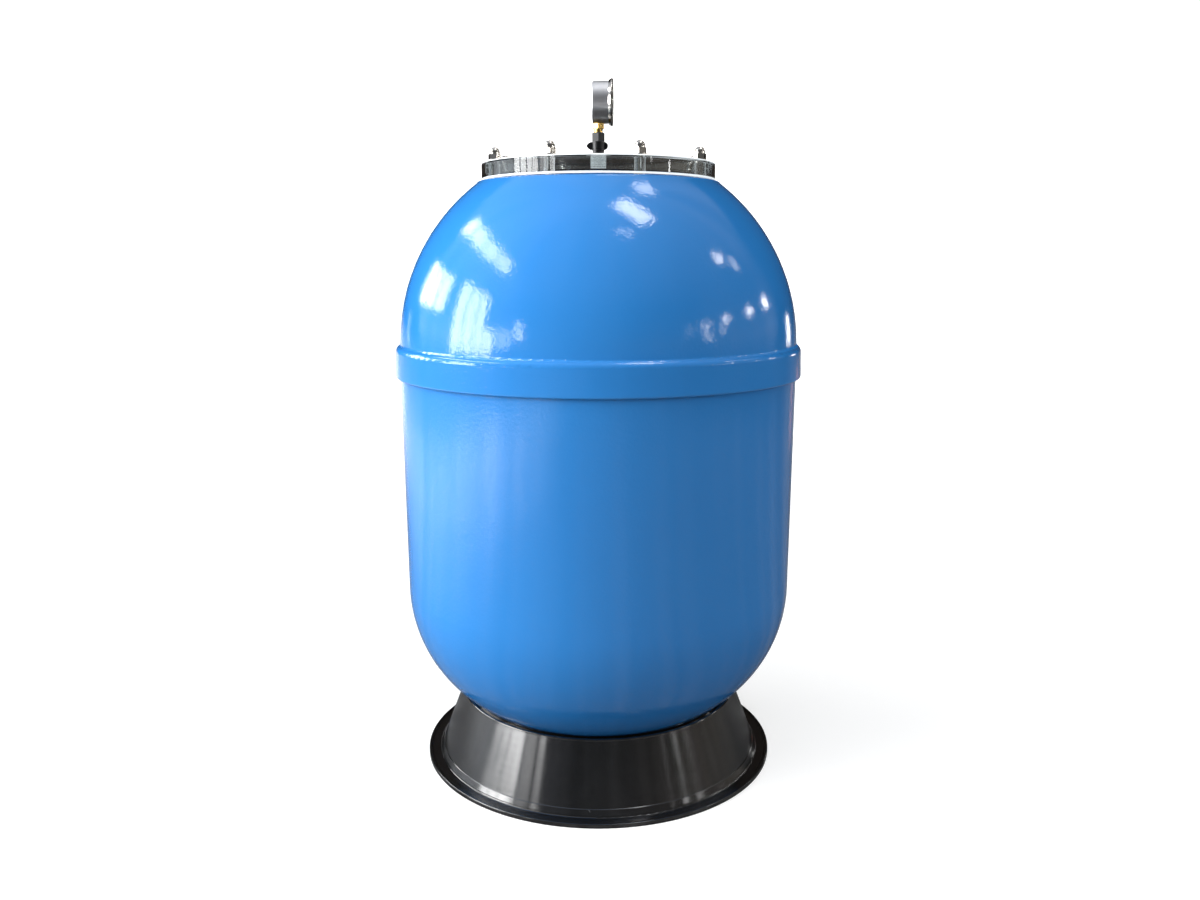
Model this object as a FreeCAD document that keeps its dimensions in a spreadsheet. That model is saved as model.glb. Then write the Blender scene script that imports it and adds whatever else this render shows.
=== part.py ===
import FreeCAD, Part
import os
import re
from math import atan2, pi, sqrt

import Sketcher
from FreeCAD import Placement, Rotation, Vector

# Pool sand filter: a laminated two-shell tank on a moulded base skirt, with a clear bolted lid,
# an air purge and pressure gauge on top, two side ports at the back with the pipework inside, and
# a low drain. Millimetres, +Z up, origin on the tank's axis at floor level, the back towards +Y.

# Driving sizes
sizes = {
    # Tank shells
    "tank_bottom_height": 52.4,  # lowest point of the tank above the floor
    "tank_radius": 306,  # outside, at the top of the knuckle
    "side_draft": 2,  # gain in radius from the knuckle to the joint
    "knuckle_radius": 220,  # outside
    "crown_radius": 480,  # outside, bottom crown
    "side_height": 335,  # from the knuckle to the joint line
    "shell_wall": 7,  # laminate
    "spigot_length": 26,  # lower shell inside the socket band
    "bond_gap": 0.3,  # between spigot and socket
    "band_wall": 7.2,  # laminate of the socket band
    "band_height": 39,  # joint line to the band's shoulder
    "band_edge": 3,  # rounding of the band's lower edge
    "band_slope": 1.2,  # loss in radius up the band
    "shoulder_radius": 9,  # band's upper shoulder
    "shoulder_width": 6,  # band's outside to the shoulder's end
    "shoulder_rise": 8.5,  # height of the shoulder
    "cove_rise": 3.5,  # height of the hollow between shoulder and dome
    "cove_width": 2.068,  # hollow between shoulder and dome
    "cove_radius": 4,  # hollow between shoulder and dome
    "spigot_end_gap": 1,  # above the spigot's end
    "dome_rise": 44.5,  # dome's centre above the joint line
    "neck_radius": 183.16,  # where the dome meets the neck face
    "neck_edge": 2,  # height of the rounded edge round the neck face

    # Neck, lid seal and bolts
    "neck_bore": 140,  # radius of the filling opening
    "neck_depth": 28.5,  # thickness of the solid neck ring
    "seal_radius": 147,  # centre of the O-ring's cord
    "seal_cord": 8,  # O-ring's thickness
    "seal_groove_depth": 5,  # groove in the neck's rim
    "seal_side_gap": 0.1,  # each side of the cord
    "neck_rim_height": 6,  # rim above the neck face
    "seal_foot_spare": 1,  # ring plate beyond the neck's rim on both sides
    "neck_rim_wall": 2.9,  # rim each side of the groove
    "seal_gap": 0.3,  # between the cord and the lid
    "bolt_count": 8,  # studs round the lid
    "bolt_circle": 163,  # radius
    "bolt_turn": 69.4,  # degrees, first stud clockwise from +X
    "stud_radius": 5,  # M10
    "stud_depth": 20,  # stud inside its insert
    "stud_end_gap": 1,  # above the stud in its nut
    "insert_radius": 8,  # brass insert
    "insert_depth": 22,  # brass insert
    "fit_gap": 0.05,  # radial, between parts that screw or push together

    # Lid
    "lid_radius": 178,  # outside
    "lid_clearance": 2,  # between the neck face and the lid's foot
    "lid_height": 25.5,  # foot to top
    "lid_plate": 4,  # top plate
    "lid_wall": 4,  # outer wall
    "lid_foot_height": 3.5,  # thick foot of the outer wall
    "lid_foot_width": 7,  # thick foot of the outer wall
    "seal_foot": 2.4,  # ring plate that presses the O-ring
    "seal_wall": 3,  # inner ring wall
    "bolt_boss": 7.6,  # radius of the bosses round the studs
    "bolt_rib": 5,  # width of the rib from the ring wall to the outer wall
    "bolt_rib_depth": 18,  # below the lid's top
    "bolt_hole": 5.6,  # radius
    "purge_boss": 12,  # radius of the centre boss
    "purge_boss_depth": 16,  # below the top plate
    "lid_edge": 1.5,  # rounding of the top edge

    # Washers and domed nuts
    "washer_radius": 10,  # M10
    "washer_height": 2,  # M10
    "washer_hole": 5.25,  # radius
    "nut_flats": 17,  # across flats
    "nut_hex_height": 8,  # domed nut
    "nut_height": 18,  # domed nut
    "nut_chamfer": 1.6,  # height of the chamfer beyond the hexagon's corners
    "nut_dome": 7.6,  # radius of the dome
    "nut_thread_depth": 13,  # blind hole
    "nut_thread": 5.05,  # radius of the blind hole

    # Purge and gauge adapter
    "purge_tail": 8,  # radius, screwed in the lid's boss
    "purge_washer_radius": 10.5,  # flat washer
    "purge_washer_height": 2,  # flat washer
    "purge_shoulder": 9.2,  # radius of the lower body
    "purge_shoulder_height": 19,  # lower body above its washer
    "purge_spindle": 6,  # radius inside the winged collar
    "purge_bore": 2,  # radius of the air passage
    "wing_height": 12.4,  # winged collar
    "wing_collar": 9.8,  # radius
    "wing_reach": 14.8,  # from the axis to the round tip
    "wing_long_reach": 18.2,  # from the axis to the pointed tip
    "wing_tip": 3.6,  # half the thickness of a wing
    "wing_root": 8,  # where a wing starts inside the collar
    "wing_inset": 0.8,  # wing below the collar's ends
    "wing_nose": 4,  # length of the rounded end
    "wing_curve": 6,  # radius of the rounded end
    "wing_point": 6,  # length of the pointed end
    "wing_point_curve": 12,  # radius of the pointed end's two sides
    "wing_height_gap": 0.3,  # above and below the collar
    "adapter_flats": 19.2,  # hexagon that takes the gauge
    "adapter_height": 13,  # hexagon
    "adapter_chamfer_width": 1,  # chamfer inside the hexagon's flats
    "adapter_chamfer": 2.4,  # height of the chamfer beyond the hexagon's corners
    "adapter_socket": 4.3,  # depth on the spindle
    "thread_radius": 6.55,  # gauge thread
    "thread_length": 7,  # gauge thread in the adapter
    "thread_end_gap": 0.3,  # below the gauge thread, and above the spindle

    # Pressure gauge, built about its dial's axis
    "gauge_turn": 2.5,  # degrees, dial clockwise from +X
    "gauge_neck": 6.75,  # radius below the brass hexagon
    "gauge_neck_height": 5,  # below the brass hexagon
    "gauge_flats": 17,  # brass hexagon
    "gauge_root": 1,  # neck and inner block inside the hexagon
    "gauge_hex_height": 8,  # brass hexagon
    "case_radius": 31,  # outside
    "case_wall": 0.8,  # pressed steel
    "case_back": 9,  # from the connector's axis to the back
    "case_front": 19.3,  # from the connector's axis to the front edge, inside the bezel
    "case_edge": 2.4,  # rounding of the back edge
    "bezel_start": 15.8,  # from the connector's axis
    "bezel_radius": 34.5,  # outside
    "bezel_wall": 1,  # rolled ring
    "bezel_round": 1.6,  # rounding of the front edge
    "bezel_opening": 29.4,  # radius
    "window_thickness": 2,  # clear disc
    "window_radius": 32.3,  # clear disc
    "dial_radius": 29,  # dial plate
    "dial_thickness": 0.6,  # dial plate
    "dial_place": 9,  # dial's back from the connector's axis
    "dial_hole_gap": 0.6,  # round the pointer's shaft
    "pointer_gap": 2.2,  # dial's face to the pointer
    "pointer_thickness": 0.5,  # pointer
    "pointer_length": 22,  # from the shaft's axis
    "pointer_tail": 8,  # from the shaft's axis
    "pointer_hub": 2.6,  # radius
    "pointer_hub_back": 1,  # hub behind the pointer
    "pointer_hub_front": 0.7,  # hub before the pointer
    "pointer_point": 0.6,  # width of the pointer's end
    "arbor_radius": 0.9,  # shafts of the pointer and the sector
    "arbor_gap": 0.12,  # radial, these shafts in their holes
    "running_gap": 0.05,  # radial, winged collar on its spindle
    "sector_drop": 9,  # sector's shaft below the pointer's
    "sector_ratio": 6,  # turns of the pointer to one of the sector
    "sector_travel": 45,  # degrees
    "sector_spare": 7.5,  # degrees, rim beyond its travel at each end
    "sector_thickness": 0.8,  # sector
    "sector_hub": 2,  # radius
    "sector_tail": 5,  # arm that the tube's link would pull
    "sector_tail_width": 2.4,  # arm
    "pinion_length": 3,  # on the pointer shaft
    "mesh_gap": 0.15,  # between the sector's rim and the pinion
    "tube_radius": 22,  # curved tube's centre line
    "tube_wide": 9,  # curved tube's section, along the dial's axis
    "tube_thick": 3,  # curved tube's section, radially
    "tube_wall": 0.5,  # curved tube
    "tube_sweep": 262,  # degrees
    "socket_block_width": 12,  # brass block inside the case
    "socket_block_gap": 0.2,  # round the block in the case's hole
    "plate_width": 20,  # movement plates
    "plate_height": 30,  # movement plates
    "plate_thickness": 1,  # movement plates
    "plate_back": -5,  # back plate from the connector's axis
    "plate_front": 5,  # front plate from the connector's axis
    "post_radius": 1.4,  # movement posts

    # Base skirt
    "flange_width": 21.5,  # foot flange outside the cone
    "foot_thickness": 5,  # foot flange
    "foot_lip": 6.4,  # height of the flange's outer lip
    "foot_lip_width": 4,  # outer lip
    "lip_round": 1.5,  # rounding of the outer lip
    "foot_cove": 3,  # radius of the hollow where cone and flange meet
    "skirt_flare": 39,  # gain in radius from the cone's top to the flange
    "skirt_collar": 11,  # outside of the cone's top beyond the seat
    "skirt_wall": 4,  # cone
    "skirt_top_drop": 7.6,  # cone's top edge below the tank's skin there
    "skirt_edge": 3,  # radius of the cone's rolled top edge
    "skirt_bead": 0.8,  # step near the cone's foot
    "skirt_bead_height": 15,  # height of that step
    "seat_gap": 0.3,  # between the seat and the tank
    "seat_spread": 40.2,  # seat's inner edge beyond the seam of crown and knuckle
    "seat_width": 13,  # from the seat's inner to its outer edge
    "seat_depth": 4,  # thickness of the seat ring
    "skirt_edge_step": 0.5,  # rolled top edge inside the cone's wall
    "seat_drop": 5,  # seat ring's ledge below the cone's top edge

    # Wall fittings at the back
    "outlet_height": 345,  # centre of the outlet port
    "port_spacing": 125,  # outlet to inlet
    "pad_radius": 46,  # flat pad moulded in the shell
    "pad_stand": 3,  # pad's face outside the shell
    "pad_thickness": 15,  # pad
    "gasket_height": 2.5,  # flat gasket
    "port_flange_radius": 42,  # fitting's flange
    "port_flange_height": 8,  # fitting's flange
    "flange_round": 2,  # rounding of the flange
    "port_thread": 29.8,  # radius of the 2 inch thread
    "port_spout": 26,  # thread outside the flange
    "port_shank": 39,  # thread inside the flange's face
    "port_bore": 22,  # radius of the water way
    "pipe_radius": 25,  # 50 mm pipe
    "pipe_wall": 2.4,  # 50 mm pipe
    "socket_depth": 25,  # pipe in a socket
    "socket_wall": 4.4,  # round a pipe socket
    "nut_height_port": 12,  # back nut
    "nut_flats_port": 78,  # back nut
    "wall_hole_gap": 0.4,  # radial, shank in the shell

    # Inside pipework
    "bend_radius": 36,  # elbows, on the centre line
    "riser_stand": 82.5,  # riser's axis before the inlet fitting's inner end
    "diffuser_room": 21.2,  # under the dome over the diffuser's outer edge
    "diffuser_radius": 58,  # outside of the spreading bowl
    "diffuser_height": 34,  # bowl above its socket
    "diffuser_wall": 3,  # bowl
    "diffuser_rim": 6,  # upright rim of the bowl
    "spreader_radius": 52,  # plate over the bowl
    "spreader_gap": 3,  # plate above the bowl's rim
    "spreader_legs": 3,  # under the plate
    "spreader_leg": 3,  # radius of a leg
    "spreader_leg_length": 20,  # from inside the plate into the bowl's wall
    "pipe_end_gap": 0.3,  # pipe's end to the socket's floor
    "hub_radius": 46,  # collector hub
    "hub_stand": 40.6,  # hub above the tank's inner floor
    "hub_height": 52,  # hub without its socket
    "hub_wall": 5,  # hub
    "hub_slope": 6,  # height of the hub's sloping top
    "lateral_count": 8,  # arms of the collector
    "lateral_rise": 24,  # arms' axis above the hub's underside
    "lateral_tail": 8,  # radius of the threaded tail
    "lateral_bore": 5,  # radius of the tail's bore
    "lateral_radius": 12.5,  # arm
    "lateral_wall": 2,  # arm
    "lateral_room": 2.65,  # end of the arm before the shell's wall at the arm's underside
    "lateral_collar": 4,  # solid collar at the hub
    "lateral_gap": 0.2,  # between collar and hub
    "slot_width": 1.6,  # slots in the arms
    "slot_half": 9,  # half the length of a slot
    "slot_pitch": 16,  # slots in the arms
    "slot_rows": 9,  # slots along an arm

    # Drain
    "drain_height": 215,  # centre of the drain
    "drain_pad_radius": 28,  # flat pad moulded in the shell
    "drain_stand": 10.1,  # pad's face outside the shell
    "drain_pad_thickness": 31,  # pad
    "drain_thread": 13.2,  # radius of the thread
    "drain_bore": 9,  # radius of the water way
    "drain_flange_radius": 21,  # fitting's flange
    "drain_flange_height": 5,  # fitting's flange
    "drain_spout": 15,  # thread outside the flange
    "drain_nut_height": 8,  # back nut
    "drain_nut_flats": 38,  # back nut
    "strainer_length": 48,  # strainer inside the tank
    "strainer_wall": 1.6,  # strainer
    "strainer_grip": 12,  # strainer inside the fitting
    "strainer_hole": 2,  # radius of a hole
    "strainer_holes": 4,  # in a round, and rounds along the strainer
    "strainer_pitch": 9,  # between rows of holes
    "cap_wall": 3,  # drain cap
    "cap_grip": 1.2,  # depth of the cap's grip flutes
    "flute_radius": 2,  # grip flutes
    "cap_flutes": 12,  # round the cap
    "cap_round": 1.5,  # rounding of the cap's end
    "cap_thread_gap": 0.35,  # radial, cap on the fitting
    "drain_shank_free": 4,  # thread beyond the back nut
    "cap_gap": 0.3,  # cap's mouth to the flange
    "drain_washer": 2,  # seal in the cap
}

# Sizes that follow from them
formulas = {
    # Tank shells
    "crown_centre": "tank_bottom_height + crown_radius",  # height
    "knuckle_centre": "tank_radius - knuckle_radius",  # distance from the axis
    "crown_drop": "sqrt((crown_radius - knuckle_radius)^2 - knuckle_centre^2)",  # crown to knuckle centre
    "knuckle_height": "crown_centre - crown_drop",  # height of the knuckle's centre
    "crown_sine": "knuckle_centre / (crown_radius - knuckle_radius)",  # where crown and knuckle meet
    "crown_cosine": "crown_drop / (crown_radius - knuckle_radius)",  # where crown and knuckle meet
    "joint_height": "knuckle_height + side_height",  # joint line
    "joint_radius": "tank_radius + side_draft",  # outside of the lower shell at the joint
    "band_radius": "joint_radius + bond_gap + band_wall",  # outside of the band
    "band_top": "joint_height + band_height",  # height of the band's shoulder
    "dome_centre": "joint_height + dome_rise",  # height
    "dome_foot": "band_radius - shoulder_width - cove_width",  # dome's radius where it leaves the cove
    "dome_lift": "band_height + shoulder_rise + cove_rise - dome_rise",  # that place above the centre
    "dome_radius": "sqrt(dome_foot^2 + dome_lift^2)",  # outside, upper dome
    "dome_cut": "sqrt(dome_radius^2 - neck_radius^2)",  # neck face above the dome's centre
    "crown_edge": "crown_radius * crown_sine",  # radius where crown and knuckle meet
    "neck_face": "dome_centre + dome_cut",  # height of the flat neck face

    # Neck, lid seal and bolts
    "rim_outside": "seal_radius + seal_cord / 2 + seal_side_gap + neck_rim_wall",  # radius
    "rim_top": "neck_face + neck_rim_height",  # height
    "groove_floor": "rim_top - seal_groove_depth",  # height
    "groove_inside": "seal_radius - seal_cord / 2 - seal_side_gap",  # radius
    "groove_outside": "seal_radius + seal_cord / 2 + seal_side_gap",  # radius

    # Lid
    "lid_foot": "neck_face + lid_clearance",  # height
    "lid_top": "lid_foot + lid_height",  # height
    "seal_face": "groove_floor + seal_cord + seal_gap",  # height of the lid's sealing face
    "seal_foot_inside": "neck_bore - seal_foot_spare",  # radius
    "seal_wall_outside": "rim_outside + seal_foot_spare",  # radius
    "plate_under": "lid_top - lid_plate",  # height

    # Purge and gauge adapter
    "purge_foot": "lid_top + purge_washer_height",  # height
    "wing_foot": "purge_foot + purge_shoulder_height + wing_height_gap",  # height
    "adapter_foot": "wing_foot + wing_height + wing_height_gap",  # height
    "adapter_top": "adapter_foot + adapter_height",  # height
    "spindle_top": "adapter_foot + adapter_socket - thread_end_gap",  # height

    # Pressure gauge, built about its dial's axis
    "gauge_hex_foot": "adapter_top + gauge_neck_height",  # height
    "case_bottom": "gauge_hex_foot + gauge_hex_height",  # height
    "gauge_height": "case_bottom + case_radius",  # height of the dial's axis
    "window_back": "case_front + fit_gap",  # from the connector's axis
    "pointer_place": "dial_place + dial_thickness + pointer_gap",  # from the connector's axis
    "socket_block_top": "gauge_height - tube_radius - tube_thick / 2 - fit_gap",  # height
    "pinion_radius": "sector_drop / (sector_ratio + 1)",  # on the pointer shaft
    "sector_radius": "sector_drop - pinion_radius - mesh_gap",  # rim of the sector

    # Base skirt
    "seat_inside": "crown_edge + seat_spread",  # radius of the seat's inner edge
    "seat_outside": "seat_inside + seat_width",  # radius of the seat's outer edge
    "skirt_top_radius": "seat_outside + skirt_collar",  # outside of the cone at its top
    "skirt_foot_radius": "skirt_top_radius + skirt_flare",  # outside of the cone at the flange
    "foot_radius": "skirt_foot_radius + flange_width",  # outside of the foot flange
    "seat_arc": "knuckle_radius + seat_gap",  # the seat follows the knuckle
    "skirt_reach": "skirt_top_radius - knuckle_centre",  # cone's top from the knuckle's centre
    "skirt_top": "knuckle_height - sqrt(knuckle_radius^2 - skirt_reach^2) - skirt_top_drop",  # height
    "seat_high": "knuckle_height - sqrt(seat_arc^2 - (seat_outside - knuckle_centre)^2)",  # height
    "seat_low": "knuckle_height - sqrt(seat_arc^2 - (seat_inside - knuckle_centre)^2)",  # height
    "skirt_rise": "skirt_top - foot_thickness",  # height of the cone
    "skirt_lean": "(skirt_foot_radius - skirt_top_radius) / skirt_rise",  # radius per height

    # Wall fittings at the back
    "inlet_height": "outlet_height + port_spacing",  # centre of the inlet port
    "port_face": "tank_radius + pad_stand",  # pad's face from the axis
    "pad_inside": "port_face - pad_thickness",  # pad's inner face from the axis
    "flange_inside": "port_face + gasket_height",  # from the axis
    "flange_outside": "flange_inside + port_flange_height",  # from the axis
    "shank_end": "flange_inside - port_shank",  # from the axis
    "spout_end": "flange_outside + port_spout",  # from the axis
    "socket_bore": "pipe_radius + fit_gap",  # radius
    "socket_outside": "socket_bore + socket_wall",  # radius

    # Inside pipework
    "riser_place": "shank_end - riser_stand",  # riser's axis behind the tank's axis
    "diffuser_edge": "riser_place + diffuser_radius",  # from the tank's axis
    "dome_over": "dome_centre + sqrt((dome_radius - shell_wall)^2 - diffuser_edge^2)",  # height
    "diffuser_top": "diffuser_height + spreader_gap + diffuser_wall",  # above its socket
    "riser_top": "dome_over - diffuser_room - diffuser_top",  # height of the riser pipe's end
    "hub_foot": "tank_bottom_height + shell_wall + hub_stand",  # height of the hub's underside
    "elbow_leg": "bend_radius + socket_depth + pipe_end_gap",  # elbow's centre to a socket's mouth
    "lateral_height": "hub_foot + lateral_rise",  # height of the arms' axis
    "hub_top": "hub_foot + hub_height",  # height of the hub without its socket
    "arm_drop": "knuckle_height - lateral_height + lateral_radius",  # arms' underside below the knuckle
    "arm_wall": "knuckle_centre + sqrt((knuckle_radius - shell_wall)^2 - arm_drop^2)",  # radius there
    "lateral_reach": "arm_wall - lateral_room",  # end of the arm from the axis

    # Drain
    "drain_drop": "knuckle_height - drain_height",  # below the knuckle's centre
    "drain_face": "knuckle_centre + sqrt(knuckle_radius^2 - drain_drop^2) + drain_stand",  # from the axis
    "drain_inside": "drain_face - drain_pad_thickness",  # pad's inner face from the axis
    "drain_flange_inside": "drain_face + gasket_height",  # from the axis
    "drain_flange_outside": "drain_flange_inside + drain_flange_height",  # from the axis
    "drain_end": "drain_flange_outside + drain_spout",  # from the axis
    "drain_shank_end": "drain_inside - drain_nut_height - drain_shank_free",  # from the axis
    "strainer_end": "drain_shank_end - strainer_length",  # from the axis
    "cap_bore": "drain_thread + cap_thread_gap",  # radius
    "cap_end": "drain_end + cap_gap + drain_washer + cap_wall",  # from the axis
}
names = list(sizes) + list(formulas)

doc = FreeCAD.newDocument("PoolSandFilter")
sheet = doc.addObject("Spreadsheet::Sheet", "Sizes")
for row, name in enumerate(names, 1):
    value = str(sizes[name]) if name in sizes else "=" + formulas[name]
    sheet.set("A%d" % row, name)
    sheet.set("B%d" % row, value)
    sheet.setAlias("B%d" % row, name)
doc.recompute()
pieces = []

# Directions that pieces are turned about. A piece turned by a quarter about BACK has its own
# upright axis towards +Y. DOWN turns clockwise seen from above.
UP = Vector(0, 0, 1)
DOWN = Vector(0, 0, -1)
BACK = Vector(-1, 0, 0)


def cell(text):
    """An expression in which each size's name points at the sheet."""
    def point(word):
        return "Sizes." + word.group() if word.group() in names else word.group()
    return re.sub(r"[a-z_]+", point, text)


def number(text):
    value = sheet.evalExpression(cell(text))
    return float(getattr(value, "Value", value))


def piece(label, base=("0", "0", "0"), axis=UP, angle="0"):
    """A body with its own label, moved along the axes and turned about one of them."""
    body = doc.addObject("PartDesign::Body", label)
    body.Label = label
    body.Placement = Placement(Vector(), Rotation(axis, 1))
    body.setExpression("Placement.Rotation.Angle", cell(angle))
    for letter, text in zip("xyz", base):
        body.setExpression("Placement.Base." + letter, cell(text))
    pieces.append(body)
    return body


def own(body, role):
    """One of the body's own planes or axes."""
    return next(part for part in body.Origin.OriginFeatures if part.Role == role)


def sketch_on(body, role, height="0"):
    sketch = body.newObject("Sketcher::SketchObject", body.Name + "_sketch")
    sketch.AttachmentSupport = [(own(body, role), "")]
    sketch.MapMode = "FlatFace"
    sketch.setExpression("AttachmentOffset.Base.z", cell(height))
    return sketch


def bind(sketch, kind, targets, text):
    """A dimension of the sketch that follows the sheet."""
    index = sketch.addConstraint(Sketcher.Constraint(kind, *targets, number(text)))
    sketch.setExpression("Constraints[%d]" % index, cell(text))


def hold(sketch, edge, end, across, up):
    """Bind one point of a sketch to the sheet."""
    for kind, text, axis in (("DistanceX", across, -2), ("DistanceY", up, -1)):
        if abs(number(text)) < 1e-9:
            sketch.addConstraint(Sketcher.Constraint("PointOnObject", edge, end, axis))
        else:
            bind(sketch, kind, (-1, 1, edge, end), text)


def arc_between(first, last, radius, turn):
    """The shorter arc from first to last that turns left (+1) or right (-1)."""
    chord = last - first
    half = chord.Length / 2
    side = Vector(-chord.y, chord.x, 0).normalize()
    centre = (first + last) / 2 + side * (turn * sqrt(max(radius * radius - half * half, 0)))
    ends = (first, last) if turn > 0 else (last, first)
    start, stop = (atan2(end.y - centre.y, end.x - centre.x) for end in ends)
    if stop <= start:
        stop += 2 * pi
    return Part.ArcOfCircle(Part.Circle(centre, UP, radius), start, stop)


def outline(body, role, corners, height="0"):
    """A closed outline. A corner is (across, up), reached by a straight run, or
    (across, up, radius, turn), reached by an arc that turns left (+1) or right (-1)."""
    sketch = sketch_on(body, role, height)
    points = [Vector(number(corner[0]), number(corner[1]), 0) for corner in corners]
    ends = []
    for index, corner in enumerate(corners):
        first, last = points[index - 1], points[index]
        if len(corner) == 2:
            edge = sketch.addGeometry(Part.LineSegment(first, last), False)
            ends.append((edge, 1, 2))
        else:
            edge = sketch.addGeometry(arc_between(first, last, number(corner[2]), corner[3]), False)
            ends.append((edge, 1, 2) if corner[3] > 0 else (edge, 2, 1))
            bind(sketch, "Radius", (edge,), corner[2])
    for index, (edge, start, stop) in enumerate(ends):
        before = ends[index - 1]
        sketch.addConstraint(Sketcher.Constraint("Coincident", before[0], before[2], edge, start))
        hold(sketch, edge, stop, corners[index][0], corners[index][1])
    return sketch


def circles(body, role, rounds, height="0"):
    """Circles, each (across, up, radius)."""
    sketch = sketch_on(body, role, height)
    for across, up, radius in rounds:
        centre = Vector(number(across), number(up), 0)
        edge = sketch.addGeometry(Part.Circle(centre, UP, number(radius)), False)
        bind(sketch, "Radius", (edge,), radius)
        hold(sketch, edge, 3, across, up)
    return sketch


def ring(body, outside, inside, height="0", across="0"):
    return circles(body, "XY_Plane", [(across, "0", outside), (across, "0", inside)], height)


def box(body, role, left, right, low, high, height="0"):
    return outline(body, role, [(left, low), (right, low), (right, high), (left, high)], height)


def hexagon(body, across, flats, height="0"):
    """A hexagon with a corner towards the sketch's upright axis."""
    half, corner, low = "%s / 2" % flats, "%s / sqrt(3)" % flats, "%s / sqrt(12)" % flats
    places = [(half, low), ("0", corner), ("-" + half, low), ("-" + half, "-" + low), ("0", "-" + corner),
              (half, "-" + low)]
    return outline(body, "XY_Plane", [("%s + %s" % (across, x), y) for x, y in places], height)


def spine(sketch, across):
    """An upright construction line for a revolve that turns about its own middle."""
    ends = (Vector(number(across), 0, 0), Vector(number(across), number("nut_height"), 0))
    edge = sketch.addGeometry(Part.LineSegment(*ends), True)
    hold(sketch, edge, 1, across, "0")
    hold(sketch, edge, 2, across, "nut_height")


def feature(body, kind, sketch, **settings):
    """A feature made from a sketch. Settings given as text follow the sheet."""
    made = body.newObject("PartDesign::" + kind, body.Name + "_" + kind.lower())
    made.Profile = sketch
    for name, value in settings.items():
        if isinstance(value, str):
            made.setExpression(name, cell(value))
        else:
            setattr(made, name, value)
    doc.recompute()
    return made


def revolved(body, sketch, line="V_Axis", kind="Revolution", angle="360"):
    return feature(body, kind, sketch, ReferenceAxis=(sketch, [line]), Angle=angle)


def padded(body, sketch, length, reverse=False):
    return feature(body, "Pad", sketch, Length=length, Reversed=reverse)


def pocketed(body, sketch, length, reverse=False):
    return feature(body, "Pocket", sketch, Length=length, Reversed=reverse)


def round_copies(body, features, count):
    """Copies of the features round the body's upright axis."""
    pattern = body.newObject("PartDesign::PolarPattern", body.Name + "_round")
    pattern.Originals = features
    pattern.Axis = (own(body, "Z_Axis"), [""])
    pattern.Angle = 360
    pattern.setExpression("Occurrences", cell(count))
    body.Tip = pattern
    doc.recompute()


def row_copies(body, features, count, pitch):
    """Copies of the features along the body's X axis."""
    pattern = body.newObject("PartDesign::LinearPattern", body.Name + "_row")
    pattern.Originals = features
    pattern.Direction = (own(body, "X_Axis"), [""])
    pattern.setExpression("Length", cell("(%s - 1) * %s" % (count, pitch)))
    pattern.setExpression("Occurrences", cell(count))
    body.Tip = pattern
    doc.recompute()


def turned(label, corners, base=("0", "0", "0"), axis=UP, angle="0", line="V_Axis"):
    """A piece that is one outline turned about its upright or its level axis."""
    body = piece(label, base, axis, angle)
    revolved(body, outline(body, "XZ_Plane", corners), line)
    return body


# Base skirt: one moulding, a cone with a foot flange and an inner ring that the tank stands on
def base_skirt():
    def outer(height):
        return "skirt_foot_radius - (%s - foot_thickness) * skirt_lean" % height

    def inner(height):
        return "skirt_foot_radius - skirt_wall - (%s - foot_thickness) * skirt_lean" % height

    turned("base_skirt", [
        ("foot_radius", "0"),
        ("foot_radius", "foot_lip - lip_round"),
        ("foot_radius - lip_round", "foot_lip", "lip_round", 1),
        ("foot_radius - foot_lip_width", "foot_lip"),
        ("foot_radius - foot_lip_width - lip_round", "foot_thickness"),
        ("skirt_foot_radius + foot_cove", "foot_thickness"),
        ("skirt_foot_radius + skirt_bead", "foot_thickness + foot_cove", "foot_cove", -1),
        (outer("skirt_bead_height") + " + skirt_bead", "skirt_bead_height"),
        (outer("(skirt_bead_height + skirt_bead)"), "skirt_bead_height + skirt_bead"),
        (outer("(skirt_top - skirt_edge)"), "skirt_top - skirt_edge"),
        ("skirt_top_radius - skirt_wall / 2", "skirt_top", "skirt_edge", 1),
        (inner("(skirt_top - skirt_edge)") + " + skirt_edge_step", "skirt_top - skirt_edge",
         "skirt_edge", 1),
        (inner("(skirt_top - seat_drop)"), "skirt_top - seat_drop"),
        ("seat_outside", "skirt_top - seat_drop"),
        ("seat_outside", "seat_high"),
        ("seat_inside", "seat_low", "seat_arc", -1),
        ("seat_inside", "seat_low - seat_depth"),
        (inner("(seat_low - seat_depth)"), "seat_low - seat_depth"),
        (inner("foot_thickness"), "foot_thickness"),
        ("skirt_foot_radius - skirt_wall", "0"),
    ])


# Fibreglass laminate shells: the lower shell's spigot is bonded into the upper shell's band
def flat_pad(body, height, radius, face, thickness, hole):
    """A flat pad at the back of a shell, with the hole for a wall fitting."""
    pad = circles(body, "XZ_Plane", [("0", height, radius)], "%s - %s" % (thickness, face))
    padded(body, pad, thickness, reverse=True)
    cut = circles(body, "XZ_Plane", [("0", height, hole)], "-%s" % face)
    pocketed(body, cut, "3 * " + thickness, reverse=True)


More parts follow.
